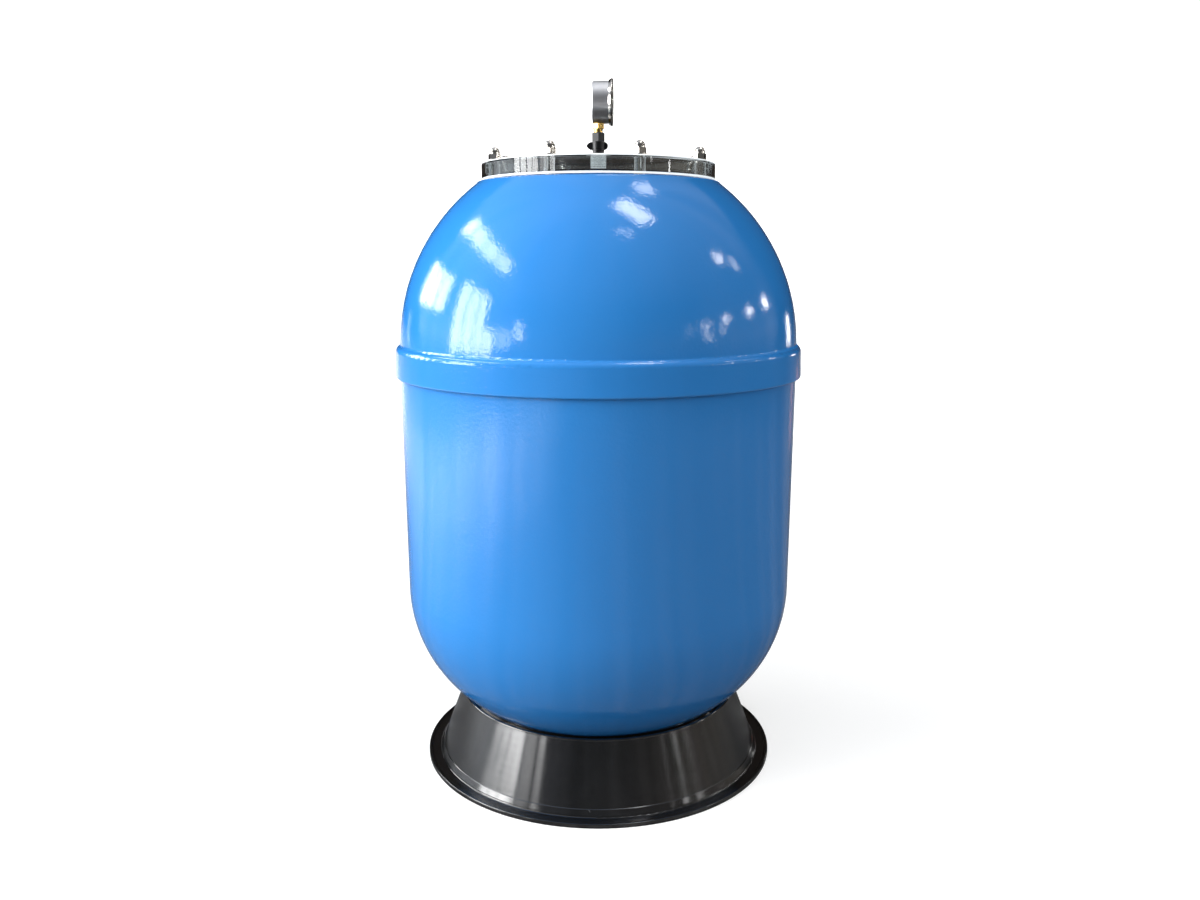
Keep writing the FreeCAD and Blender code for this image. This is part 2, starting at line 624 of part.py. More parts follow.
def lower_shell():
    body = turned("lower_shell", [
        ("0", "tank_bottom_height"),
        ("crown_edge", "crown_centre - crown_radius * crown_cosine", "crown_radius", 1),
        ("tank_radius", "knuckle_height", "knuckle_radius", 1),
        ("joint_radius", "joint_height"),
        ("joint_radius", "joint_height + spigot_length"),
        ("joint_radius - shell_wall", "joint_height + spigot_length"),
        ("joint_radius - shell_wall", "joint_height"),
        ("tank_radius - shell_wall", "knuckle_height"),
        ("(crown_radius - shell_wall) * crown_sine",
         "crown_centre - (crown_radius - shell_wall) * crown_cosine", "knuckle_radius - shell_wall", -1),
        ("0", "tank_bottom_height + shell_wall", "crown_radius - shell_wall", -1),
    ])
    for height in ("outlet_height", "inlet_height"):
        flat_pad(body, height, "pad_radius", "port_face", "pad_thickness", "port_thread + wall_hole_gap")
    flat_pad(body, "drain_height", "drain_pad_radius", "drain_face", "drain_pad_thickness",
             "drain_thread + wall_hole_gap")


def upper_shell():
    def dome(height):
        return "sqrt(dome_radius^2 - (%s - dome_centre)^2)" % height

    body = turned("upper_shell", [
        ("joint_radius + bond_gap", "joint_height"),
        ("band_radius - band_edge", "joint_height"),
        ("band_radius", "joint_height + band_edge", "band_edge", 1),
        ("band_radius - band_slope", "band_top"),
        ("band_radius - shoulder_width", "band_top + shoulder_rise", "shoulder_radius", 1),
        (dome("(band_top + shoulder_rise + cove_rise)"), "band_top + shoulder_rise + cove_rise",
         "cove_radius", -1),
        (dome("(neck_face - neck_edge)"), "neck_face - neck_edge", "dome_radius", 1),
        (dome("neck_face") + " - neck_edge / 3", "neck_face", "neck_edge * 1.5", 1),
        ("rim_outside", "neck_face"),
        ("rim_outside", "rim_top"),
        ("groove_outside", "rim_top"),
        ("groove_outside", "groove_floor"),
        ("groove_inside", "groove_floor"),
        ("groove_inside", "rim_top"),
        ("neck_bore", "rim_top"),
        ("neck_bore", "neck_face - neck_depth"),
        ("sqrt((dome_radius - shell_wall)^2 - (dome_cut - neck_depth)^2)", "neck_face - neck_depth"),
        ("dome_radius - shell_wall", "dome_centre", "dome_radius - shell_wall", -1),
        ("dome_radius - shell_wall", "joint_height + spigot_length + spigot_end_gap"),
        ("joint_radius + bond_gap", "joint_height + spigot_length + spigot_end_gap"),
    ], axis=DOWN, angle="bolt_turn")
    place = [("bolt_circle", "0", "insert_radius + fit_gap")]
    hole = pocketed(body, circles(body, "XY_Plane", place, "neck_face"), "insert_depth + fit_gap")
    round_copies(body, [hole], "bolt_count")


# What stands round the bolt circle: one solid on the body's X axis, copied round
def stud_inserts():
    body = piece("stud_inserts", axis=DOWN, angle="bolt_turn")
    sketch = ring(body, "insert_radius", "stud_radius + fit_gap", "neck_face - insert_depth", "bolt_circle")
    round_copies(body, [padded(body, sketch, "insert_depth")], "bolt_count")


def lid_studs():
    body = piece("lid_studs", axis=DOWN, angle="bolt_turn")
    rod = circles(body, "XY_Plane", [("bolt_circle", "0", "stud_radius")], "neck_face - stud_depth")
    above = "lid_clearance + lid_height + washer_height + nut_thread_depth - stud_end_gap"
    round_copies(body, [padded(body, rod, "stud_depth + " + above)], "bolt_count")


def lid_washers():
    body = piece("lid_washers", axis=DOWN, angle="bolt_turn")
    sketch = ring(body, "washer_radius", "washer_hole", "lid_top", "bolt_circle")
    round_copies(body, [padded(body, sketch, "washer_height")], "bolt_count")


def lid_nuts():
    """Domed nuts: chamfered hexagon, dome, and a blind thread for the stud."""
    body = piece("lid_nuts", ("0", "0", "lid_top + washer_height"), DOWN, "bolt_turn")
    prism = padded(body, hexagon(body, "bolt_circle", "nut_flats"), "nut_hex_height")
    spare = outline(body, "XZ_Plane", [
        ("bolt_circle + nut_flats / 2", "nut_hex_height"),
        ("bolt_circle + nut_flats / sqrt(2)", "nut_hex_height - nut_chamfer"),
        ("bolt_circle + nut_flats / sqrt(2)", "nut_hex_height"),
    ])
    spine(spare, "bolt_circle")
    chamfer = revolved(body, spare, "Axis0", "Groove")
    dome = outline(body, "XZ_Plane", [
        ("bolt_circle", "nut_hex_height"),
        ("bolt_circle + nut_dome", "nut_hex_height"),
        ("bolt_circle + nut_dome", "nut_height - nut_dome"),
        ("bolt_circle", "nut_height", "nut_dome", 1),
    ])
    spine(dome, "bolt_circle")
    cap = revolved(body, dome, "Axis0")
    thread = circles(body, "XY_Plane", [("bolt_circle", "0", "nut_thread")])
    hole = pocketed(body, thread, "nut_thread_depth", reverse=True)
    round_copies(body, [prism, chamfer, cap, hole], "bolt_count")


def lid_gasket():
    body = piece("lid_gasket", ("0", "0", "groove_floor + seal_cord / 2"))
    revolved(body, circles(body, "XZ_Plane", [("seal_radius", "0", "seal_cord / 2")]))


# Clear lid: top plate, outer wall with a thick foot, inner ring that presses the O-ring, a boss
# with a rib at each stud, and the threaded centre boss
def lid():
    body = turned("lid", [
        ("purge_tail + fit_gap", "plate_under - purge_boss_depth"),
        ("purge_boss", "plate_under - purge_boss_depth"),
        ("purge_boss", "plate_under"),
        ("seal_wall_outside - seal_wall", "plate_under"),
        ("seal_wall_outside - seal_wall", "seal_face + seal_foot"),
        ("seal_foot_inside", "seal_face + seal_foot"),
        ("seal_foot_inside", "seal_face"),
        ("seal_wall_outside", "seal_face"),
        ("seal_wall_outside", "plate_under"),
        ("lid_radius - lid_wall", "plate_under"),
        ("lid_radius - lid_wall", "lid_foot + lid_foot_height"),
        ("lid_radius - lid_foot_width", "lid_foot + lid_foot_height"),
        ("lid_radius - lid_foot_width", "lid_foot"),
        ("lid_radius", "lid_foot"),
        ("lid_radius", "lid_top - lid_edge"),
        ("lid_radius - lid_edge", "lid_top", "lid_edge", 1),
        ("purge_tail + fit_gap", "lid_top"),
    ], axis=DOWN, angle="bolt_turn")
    post = circles(body, "XY_Plane", [("bolt_circle", "0", "bolt_boss")], "lid_foot")
    boss = padded(body, post, "lid_height - lid_plate / 2")
    slab = box(body, "XY_Plane", "seal_wall_outside - seal_wall / 2", "lid_radius - lid_wall / 2",
               "-bolt_rib / 2", "bolt_rib / 2", "lid_top - bolt_rib_depth")
    rib = padded(body, slab, "bolt_rib_depth - lid_plate / 2")
    shaft = circles(body, "XY_Plane", [("bolt_circle", "0", "bolt_hole")], "lid_top")
    hole = pocketed(body, shaft, "2 * lid_height")
    round_copies(body, [boss, rib, hole], "bolt_count")


# Purge: stem screwed in the lid, winged collar that turns on it, hexagon that takes the gauge
def purge_stem():
    turned("purge_stem", [
        ("purge_bore", "plate_under - purge_boss_depth"),
        ("purge_tail", "plate_under - purge_boss_depth"),
        ("purge_tail", "purge_foot"),
        ("purge_shoulder", "purge_foot"),
        ("purge_shoulder", "wing_foot - wing_height_gap"),
        ("purge_spindle", "wing_foot - wing_height_gap"),
        ("purge_spindle", "spindle_top"),
        ("purge_bore", "spindle_top"),
    ])


def purge_gasket():
    body = piece("purge_gasket")
    sketch = ring(body, "purge_washer_radius", "purge_tail + fit_gap", "lid_top")
    padded(body, sketch, "purge_washer_height")


def purge_wing():
    """Round collar with a pointed wing on the left and a shorter round one on the right."""
    body = turned("purge_wing", [
        ("purge_spindle + running_gap", "0"),
        ("wing_collar", "0"),
        ("wing_collar", "wing_height"),
        ("purge_spindle + running_gap", "wing_height"),
    ], ("0", "0", "wing_foot"))
    right = outline(body, "XZ_Plane", [
        ("wing_root", "wing_inset"),
        ("wing_reach - wing_nose", "wing_inset"),
        ("wing_reach", "wing_height / 2", "wing_curve", 1),
        ("wing_reach - wing_nose", "wing_height - wing_inset", "wing_curve", 1),
        ("wing_root", "wing_height - wing_inset"),
    ], "-wing_tip")
    padded(body, right, "2 * wing_tip")
    left = outline(body, "XZ_Plane", [
        ("-wing_root", "wing_height - wing_inset"),
        ("wing_point - wing_long_reach", "wing_height - wing_inset"),
        ("-wing_long_reach", "wing_height / 2", "wing_point_curve", 1),
        ("wing_point - wing_long_reach", "wing_inset", "wing_point_curve", 1),
        ("-wing_root", "wing_inset"),
    ], "-wing_tip")
    padded(body, left, "2 * wing_tip")


def gauge_adapter():
    body = piece("gauge_adapter", ("0", "0", "adapter_foot"))
    padded(body, hexagon(body, "0", "adapter_flats"), "adapter_height")
    revolved(body, outline(body, "XZ_Plane", [
        ("adapter_flats / 2 - adapter_chamfer_width", "adapter_height"),
        ("adapter_flats / sqrt(2)", "adapter_height - adapter_chamfer"),
        ("adapter_flats / sqrt(2)", "adapter_height"),
    ]), kind="Groove")
    revolved(body, outline(body, "XZ_Plane", [
        ("0", "0"),
        ("purge_spindle + fit_gap", "0"),
        ("purge_spindle + fit_gap", "adapter_socket"),
        ("purge_bore", "adapter_socket"),
        ("purge_bore", "adapter_height - thread_length - thread_end_gap"),
        ("thread_radius + fit_gap", "adapter_height - thread_length - thread_end_gap"),
        ("thread_radius + fit_gap", "adapter_height"),
        ("0", "adapter_height"),
    ]), kind="Groove")


# Pressure gauge
def on_gauge(label, corners):
    """A piece turned about the dial's axis: across is along that axis, up is the radius."""
    return turned(label, corners, ("0", "0", "gauge_height"), DOWN, "gauge_turn", "H_Axis")


def gauge_socket():
    """Brass: thread, neck, hexagon and, inside the case, the block that holds the curved tube."""
    body = turned("gauge_socket", [
        ("0", "-thread_length"),
        ("thread_radius", "-thread_length"),
        ("thread_radius", "0"),
        ("gauge_neck", "0"),
        ("gauge_neck", "gauge_neck_height + gauge_root"),
        ("0", "gauge_neck_height + gauge_root"),
    ], ("0", "0", "adapter_top"), DOWN, "gauge_turn")
    padded(body, hexagon(body, "0", "gauge_flats", "gauge_neck_height"), "gauge_hex_height")
    revolved(body, outline(body, "XZ_Plane", [
        ("gauge_flats / 2", "gauge_neck_height"),
        ("gauge_flats / sqrt(2)", "gauge_neck_height"),
        ("gauge_flats / sqrt(2)", "gauge_neck_height + nut_chamfer"),
    ]), kind="Groove")
    half = "socket_block_width / 2"
    block = box(body, "XY_Plane", "-" + half, half, "-" + half, half, "gauge_neck_height + gauge_root")
    padded(body, block, "socket_block_top - adapter_top - gauge_neck_height - gauge_root")
    passage = circles(body, "XY_Plane", [("0", "0", "purge_bore")], "-thread_length")
    length = "thread_length + gauge_neck_height + gauge_hex_height + case_wall"
    pocketed(body, passage, length, reverse=True)


def gauge_case():
    body = on_gauge("gauge_case", [
        ("-case_back", "0"),
        ("case_wall - case_back", "0"),
        ("case_wall - case_back", "case_radius - case_edge"),
        ("case_edge - case_back", "case_radius - case_wall", "case_edge - case_wall", -1),
        ("case_front", "case_radius - case_wall"),
        ("case_front", "case_radius"),
        ("case_edge - case_back", "case_radius"),
        ("-case_back", "case_radius - case_edge", "case_edge", 1),
    ])
    half = "(socket_block_width / 2 + socket_block_gap)"
    hole = box(body, "XY_Plane", "-" + half, half, "-" + half, half, "-case_radius - case_wall")
    pocketed(body, hole, "case_radius / 3", reverse=True)


def gauge_bezel():
    """Rolled ring: it holds the window against the case's front edge and flares from the case."""
    front = "(window_back + window_thickness + bezel_wall)"
    on_gauge("gauge_bezel", [
        ("bezel_start", "case_radius + fit_gap"),
        ("window_back", "case_radius + fit_gap"),
        ("window_back", "window_radius + fit_gap"),
        ("window_back + window_thickness", "window_radius + fit_gap"),
        ("window_back + window_thickness", "bezel_opening"),
        (front, "bezel_opening"),
        (front, "bezel_radius - bezel_round"),
        (front + " - bezel_round", "bezel_radius", "bezel_round", 1),
        ("window_back", "bezel_radius"),
        ("bezel_start", "case_radius + bezel_wall"),
    ])


def gauge_window():
    on_gauge("gauge_window", [
        ("window_back", "0"),
        ("window_back + window_thickness", "0"),
        ("window_back + window_thickness", "window_radius"),
        ("window_back", "window_radius"),
    ])


def gauge_dial():
    on_gauge("gauge_dial", [
        ("dial_place", "arbor_radius + dial_hole_gap"),
        ("dial_place + dial_thickness", "arbor_radius + dial_hole_gap"),
        ("dial_place + dial_thickness", "dial_radius"),
        ("dial_place", "dial_radius"),
    ])


def gauge_pointer():
    """Pointer at its zero stop, low on the left of the dial, on its own hub."""
    body = on_gauge("gauge_pointer", [
        ("pointer_place - pointer_hub_back", "arbor_radius + fit_gap"),
        ("pointer_place + pointer_thickness + pointer_hub_front", "arbor_radius + fit_gap"),
        ("pointer_place + pointer_thickness + pointer_hub_front", "pointer_hub"),
        ("pointer_place - pointer_hub_back", "pointer_hub"),
    ])

    def diagonal(inner, outer, inner_width, outer_width):
        """A tapered strip along the dial's diagonal: distances are towards the upper right."""
        runs = ((inner, inner_width, "+"), (outer, outer_width, "+"),
                (outer, outer_width, "-"), (inner, inner_width, "-"))
        corners = [("(%s %s %s / 2) / sqrt(2)" % (along, sign, width),
                    "(%s %s %s / 2) / sqrt(2)" % (along, "-" if sign == "+" else "+", width))
                   for along, width, sign in runs]
        padded(body, outline(body, "YZ_Plane", corners, "pointer_place"), "pointer_thickness")

    diagonal("-pointer_hub * 0.7", "-pointer_length", "pointer_hub", "pointer_point")
    diagonal("pointer_hub * 0.7", "pointer_tail", "pointer_hub", "pointer_hub * 1.4")


def pointer_shaft():
    on_gauge("pointer_shaft", [
        ("plate_back - plate_thickness", "0"),
        ("plate_back - plate_thickness", "arbor_radius"),
        ("-pinion_length / 2", "arbor_radius"),
        ("-pinion_length / 2", "pinion_radius"),
        ("pinion_length / 2", "pinion_radius"),
        ("pinion_length / 2", "arbor_radius"),
        ("pointer_place + pointer_thickness", "arbor_radius"),
        ("pointer_place + pointer_thickness", "0"),
    ])


def gauge_movement():
    """Two plates on four posts that stand on the back of the case and carry the dial."""
    body = piece("gauge_movement", ("0", "0", "gauge_height"), DOWN, "gauge_turn")
    for place in ("plate_back - plate_thickness", "plate_front"):
        plate = box(body, "YZ_Plane", "-plate_width / 2", "plate_width / 2", "-plate_height / 2",
                    "plate_height / 2", place)
        padded(body, plate, "plate_thickness")
    across, up = "(plate_width / 2 - 2 * post_radius)", "(plate_height / 2 - 2 * post_radius)"
    posts = [(x + across, y + up, "post_radius") for x in ("", "-") for y in ("", "-")]
    rods = circles(body, "YZ_Plane", posts, "case_wall - case_back")
    padded(body, rods, "dial_place + case_back - case_wall")
    places = [("0", up, "arbor_radius + arbor_gap") for up in ("0", "-sector_drop")]
    holes = circles(body, "YZ_Plane", places, "-case_back")
    pocketed(body, holes, "case_back + plate_front + 2 * plate_thickness", reverse=True)


def gauge_sector():
    """Toothed sector, drawn with a plain rim, that turns the pointer's pinion. It rests at its
    first stop, leaning to the back by half its travel."""
    body = turned("gauge_sector", [
        ("plate_back - plate_thickness", "0"),
        ("plate_back - plate_thickness", "arbor_radius"),
        ("-pinion_length / 2", "arbor_radius"),
        ("-pinion_length / 2", "sector_hub"),
        ("pinion_length / 2", "sector_hub"),
        ("pinion_length / 2", "arbor_radius"),
        ("plate_front + plate_thickness", "arbor_radius"),
        ("plate_front + plate_thickness", "0"),
    ], ("0", "0", "gauge_height - sector_drop"), DOWN, "gauge_turn", "H_Axis")
    far, near, lean = "(sector_travel + sector_spare)", "-sector_spare", "(sector_travel / 2)"
    rim = outline(body, "YZ_Plane", [
        ("0", "0"),
        ("sector_radius * sin(%s)" % far, "sector_radius * cos(%s)" % far),
        ("sector_radius * sin(%s)" % near, "sector_radius * cos(%s)" % near, "sector_radius", 1),
    ], "-sector_thickness / 2")
    padded(body, rim, "sector_thickness")
    half, reach = "sector_tail_width / 2", "sector_tail"
    arm = outline(body, "YZ_Plane", [
        ("%s * %s * cos(%s) - %s * sin(%s)" % (side, half, lean, along, lean),
         "-%s * %s * sin(%s) - %s * cos(%s)" % (side, half, lean, along, lean))
        for side, along in (("-1", "0"), ("-1", reach), ("1", reach), ("1", "0"))
    ], "-sector_thickness / 2")
    padded(body, arm, "sector_thickness")


def bourdon_tube():
    """A flattened tube bent round the dial's axis, from the brass block nearly back to it."""
    body = piece("bourdon_tube", ("0", "0", "gauge_height"), DOWN, "gauge_turn")

    def section(wall):
        wide, thick = "(tube_wide / 2 - %s)" % wall, "(tube_thick / 2 - %s)" % wall
        return box(body, "XZ_Plane", "-" + wide, wide, "-tube_radius - " + thick, "-tube_radius + " + thick)

    revolved(body, section("0"), "H_Axis", angle="tube_sweep")
    revolved(body, section("tube_wall"), "H_Axis", "Groove", "tube_sweep - 2")


# Wall fittings and inside pipework
def on_port(label, height, corners):
    """A piece turned about a port's axis: up in the outline is the distance behind the tank's axis."""
    return turned(label, corners, ("0", "0", height), BACK, "90")


def back_nut(label, height, flats, thread, face, thickness):
    """A hexagonal nut behind a pad: face is the pad's inner face, from the tank's axis."""
    body = piece(label, ("0", "0", height), BACK, "90")
    padded(body, hexagon(body, "0", flats, "%s - %s" % (face, thickness)), thickness)
    hole = circles(body, "XY_Plane", [("0", "0", thread + " + fit_gap")], face)
    pocketed(body, hole, "2 * " + thickness)


def flat_washer(label, height, outside, thread, face):
    on_port(label, height, [
        (thread + " + fit_gap", face),
        (outside, face),
        (outside, face + " + gasket_height"),
        (thread + " + fit_gap", face + " + gasket_height"),
    ])


def wall_fitting(name, height):
    """A 2 inch fitting: threaded spout and flange outside, threaded shank with a pipe socket inside."""
    on_port(name + "_fitting", height, [
        ("port_bore", "shank_end + socket_depth"),
        ("socket_bore", "shank_end + socket_depth"),
        ("socket_bore", "shank_end"),
        ("port_thread", "shank_end"),
        ("port_thread", "flange_inside"),
        ("port_flange_radius", "flange_inside"),
        ("port_flange_radius", "flange_outside - flange_round"),
        ("port_flange_radius - flange_round", "flange_outside", "flange_round", 1),
        ("port_thread", "flange_outside"),
        ("port_thread", "spout_end"),
        ("port_bore", "spout_end"),
    ])
    flat_washer(name + "_gasket", height, "port_flange_radius", "port_thread", "port_face")
    back_nut(name + "_nut", height, "nut_flats_port", "port_thread", "pad_inside", "nut_height_port")


def elbow(name, base, way, back):
    """A 90 degree elbow from the back towards the body's axis and then up (+1) or down (-1).
    The run to the back ends at the distance given, the other in a socket for a pipe."""
    body = piece(name, base)
    path = sketch_on(body, "YZ_Plane")
    bend, leg = "%d * bend_radius" % way, "%d * elbow_leg" % way
    points = [Vector(number(back), 0, 0), Vector(number("bend_radius"), 0, 0),
              Vector(0, number(bend), 0), Vector(0, number(leg), 0)]
    level = path.addGeometry(Part.LineSegment(points[0], points[1]), False)
    curve = path.addGeometry(arc_between(points[1], points[2], number("bend_radius"), -way), False)
    upright = path.addGeometry(Part.LineSegment(points[2], points[3]), False)
    near, far = (1, 2) if way < 0 else (2, 1)
    path.addConstraint(Sketcher.Constraint("Coincident", level, 2, curve, near))
    path.addConstraint(Sketcher.Constraint("Coincident", curve, far, upright, 1))
    bind(path, "Radius", (curve,), "bend_radius")
    for edge, end, across, up in ((level, 1, back, "0"), (level, 2, "bend_radius", "0"),
                                  (upright, 1, "0", bend), (upright, 2, "0", leg)):
        hold(path, edge, end, across, up)
    for kind, radius in (("AdditivePipe", "socket_outside"), ("SubtractivePipe", "port_bore")):
        section = circles(body, "XZ_Plane", [("0", "0", radius)], "-(%s)" % back)
        feature(body, kind, section, Spine=(path, ["Edge1", "Edge2", "Edge3"]))
    mouth = circles(body, "XY_Plane", [("0", "0", "socket_bore")], leg)
    pocketed(body, mouth, "socket_depth", reverse=way < 0)
    return body


def inlet_elbow():
    """Its spigot fits the inlet fitting, its socket takes the riser pipe."""
    end = "(shank_end - riser_place - pipe_end_gap)"
    body = elbow("inlet_elbow", ("0", "riser_place", "inlet_height"), 1, end)
    tube = [("0", "0", "pipe_radius"), ("0", "0", "port_bore")]
    padded(body, circles(body, "XZ_Plane", tube, "-" + end), "socket_depth", reverse=True)


def outlet_elbow():
    body = elbow("outlet_elbow", ("0", "0", "outlet_height"), -1, "elbow_leg")
    mouth = circles(body, "XZ_Plane", [("0", "0", "socket_bore")], "-elbow_leg")
    pocketed(body, mouth, "socket_depth", reverse=True)


def pipe(name, base, length, axis=UP, angle="0"):
    body = piece(name, base, axis, angle)
    padded(body, ring(body, "pipe_radius", "pipe_radius - pipe_wall"), length)


def riser_pipe():
    floor = "inlet_height + bend_radius + pipe_end_gap"
    pipe("riser_pipe", ("0", "riser_place", floor), "riser_top - (%s)" % floor)


def outlet_pipe():
    start = "bend_radius + pipe_end_gap"
    length = "shank_end + socket_depth - pipe_end_gap - (%s)" % start
    pipe("outlet_pipe", ("0", start, "outlet_height"), length, BACK, "90")


def drop_pipe():
    foot = "hub_top + pipe_end_gap"
    length = "outlet_height - bend_radius - pipe_end_gap - (%s)" % foot
    pipe("drop_pipe", ("0", "0", foot), length)


def diffuser():
    """A bowl on the riser pipe, with a plate on three legs that spreads the water over the sand."""
    body = turned("diffuser", [
        ("port_bore", "0"),
        ("socket_bore", "0"),
        ("socket_bore", "-socket_depth"),
        ("socket_outside", "-socket_depth"),
        ("socket_outside", "0"),
        ("diffuser_radius", "diffuser_height - diffuser_rim"),
        ("diffuser_radius", "diffuser_height"),
        ("diffuser_radius - diffuser_wall", "diffuser_height"),
        ("diffuser_radius - diffuser_wall", "diffuser_height - diffuser_rim + diffuser_wall / 2"),
        ("port_bore", "diffuser_wall"),
    ], ("0", "riser_place", "riser_top + pipe_end_gap"))
    plate = circles(body, "XY_Plane", [("0", "0", "spreader_radius")], "diffuser_height + spreader_gap")
    padded(body, plate, "diffuser_wall")
    place = [("spreader_radius - 2 * spreader_leg", "0", "spreader_leg")]
    post = circles(body, "XY_Plane", place, "diffuser_height + spreader_gap + diffuser_wall / 2")
    leg = padded(body, post, "spreader_leg_length", reverse=True)
    round_copies(body, [leg], "spreader_legs")


def collector_hub():
    """Hollow hub with a socket for the drop pipe and a threaded hole for each arm."""
    body = turned("collector_hub", [
        ("0", "hub_foot"),
        ("hub_radius", "hub_foot"),
        ("hub_radius", "hub_top - hub_slope"),
        ("socket_outside", "hub_top"),
        ("socket_outside", "hub_top + socket_depth"),
        ("socket_bore", "hub_top + socket_depth"),
        ("socket_bore", "hub_top"),
        ("port_bore", "hub_top"),
        ("port_bore", "hub_top - hub_wall"),
        ("hub_radius - hub_wall", "hub_top - hub_slope - hub_wall"),
        ("hub_radius - hub_wall", "hub_foot + hub_wall"),
        ("0", "hub_foot + hub_wall"),
    ])
    hole = circles(body, "YZ_Plane", [("0", "lateral_height", "lateral_tail + fit_gap")],
                   "hub_radius - 2 * hub_wall")
    round_copies(body, [pocketed(body, hole, "3 * hub_wall", reverse=True)], "lateral_count")


def lateral(index):
    """A slotted arm with a threaded tail in the hub and a closed round end."""
    body = turned("lateral_%d" % (index + 1), [
        ("hub_radius - hub_wall", "lateral_bore"),
        ("hub_radius + lateral_collar", "lateral_bore"),
        ("hub_radius + lateral_collar", "lateral_radius - lateral_wall"),
        ("lateral_reach - lateral_radius", "lateral_radius - lateral_wall"),
        ("lateral_reach - lateral_wall", "0", "lateral_radius - lateral_wall", -1),
        ("lateral_reach", "0"),
        ("lateral_reach - lateral_radius", "lateral_radius", "lateral_radius", 1),
        ("hub_radius + lateral_gap", "lateral_radius"),
        ("hub_radius + lateral_gap", "lateral_tail"),
        ("hub_radius - hub_wall", "lateral_tail"),
    ], ("0", "0", "lateral_height"), UP, "%d * 360 / lateral_count" % index, "H_Axis")
    first = "hub_radius + slot_pitch"
    last = first + " + slot_width"
    slot = box(body, "XY_Plane", first, last, "-slot_half", "slot_half", "lateral_radius")
    row_copies(body, [pocketed(body, slot, "2 * lateral_radius")], "slot_rows", "slot_pitch")


# Drain: fitting with its gasket, back nut and strainer, and the cap with its seal
def drain_fitting():
    on_port("drain_fitting", "drain_height", [
        ("drain_bore", "drain_shank_end"),
        ("drain_thread", "drain_shank_end"),
        ("drain_thread", "drain_flange_inside"),
        ("drain_flange_radius", "drain_flange_inside"),
        ("drain_flange_radius", "drain_flange_outside"),
        ("drain_thread", "drain_flange_outside"),
        ("drain_thread", "drain_end"),
        ("drain_bore", "drain_end"),
    ])
    flat_washer("drain_gasket", "drain_height", "drain_flange_radius", "drain_thread", "drain_face")
    back_nut("drain_nut", "drain_height", "drain_nut_flats", "drain_thread", "drain_inside",
             "drain_nut_height")


def drain_strainer():
    """A closed tube pushed in the fitting, with rows of round holes."""
    body = on_port("drain_strainer", "drain_height", [
        ("0", "strainer_end"),
        ("drain_bore - fit_gap", "strainer_end"),
        ("drain_bore - fit_gap", "drain_shank_end + strainer_grip"),
        ("drain_bore - strainer_wall", "drain_shank_end + strainer_grip"),
        ("drain_bore - strainer_wall", "strainer_end + strainer_wall"),
        ("0", "strainer_end + strainer_wall"),
    ])
    steps = range(1, int(number("strainer_holes")) + 1)
    rows = ["strainer_end + %d * strainer_pitch" % step for step in steps]
    holes = circles(body, "XZ_Plane", [("0", row, "strainer_hole") for row in rows])
    round_copies(body, [pocketed(body, holes, "drain_bore")], "strainer_holes")


def drain_seal():
    on_port("drain_seal", "drain_height", [
        ("drain_bore", "drain_end + cap_gap / 2"),
        ("cap_bore - fit_gap", "drain_end + cap_gap / 2"),
        ("cap_bore - fit_gap", "drain_end + cap_gap / 2 + drain_washer"),
        ("drain_bore", "drain_end + cap_gap / 2 + drain_washer"),
    ])


def drain_cap():
    body = on_port("drain_cap", "drain_height", [
        ("cap_bore", "drain_flange_outside + cap_gap"),
        ("cap_bore + cap_wall", "drain_flange_outside + cap_gap"),
        ("cap_bore + cap_wall", "cap_end - cap_round"),
        ("cap_bore + cap_wall - cap_round", "cap_end", "cap_round", 1),
        ("0", "cap_end"),
        ("0", "cap_end - cap_wall"),
        ("cap_bore", "cap_end - cap_wall"),
    ])
    flute = [("cap_bore + cap_wall + flute_radius - cap_grip", "0", "flute_radius")]
    start = "drain_flange_outside + cap_gap + cap_round"
    cut = pocketed(body, circles(body, "XY_Plane", flute, start), "drain_spout + cap_wall", reverse=True)
    round_copies(body, [cut], "cap_flutes")


for make in (base_skirt, lower_shell, upper_shell, stud_inserts, lid_studs, lid_gasket, lid,
             lid_washers, lid_nuts, purge_stem, purge_gasket, purge_wing, gauge_adapter, gauge_socket,
             gauge_case, gauge_bezel, gauge_window, gauge_dial, gauge_pointer, pointer_shaft,
             gauge_movement, gauge_sector, bourdon_tube, inlet_elbow, riser_pipe, diffuser, outlet_pipe,
             outlet_elbow, drop_pipe, collector_hub, drain_fitting, drain_strainer, drain_seal,
             drain_cap):
    make()
wall_fitting("inlet", "inlet_height")
wall_fitting("outlet", "outlet_height")
for arm in range(int(number("lateral_count"))):
    lateral(arm)

faults = ["%s: %s" % (thing.Name, thing.State) for thing in doc.Objects
          if {"Invalid", "Error"} & set(thing.State)]
for body in pieces:
    if body.Shape.isNull() or not body.Shape.isValid() or not body.Shape.Solids:
        faults.append("%s has no valid solid" % body.Label)
if faults:
    raise RuntimeError("\n".join(faults))

os.makedirs("parts", exist_ok=True)
for body in pieces:
    body.Shape.exportStep("parts/%s.step" % body.Label)
print("%d pieces" % len(pieces))
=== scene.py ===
from math import cos, pi, radians, sin

import bmesh
import bpy
from mathutils import Matrix, Vector


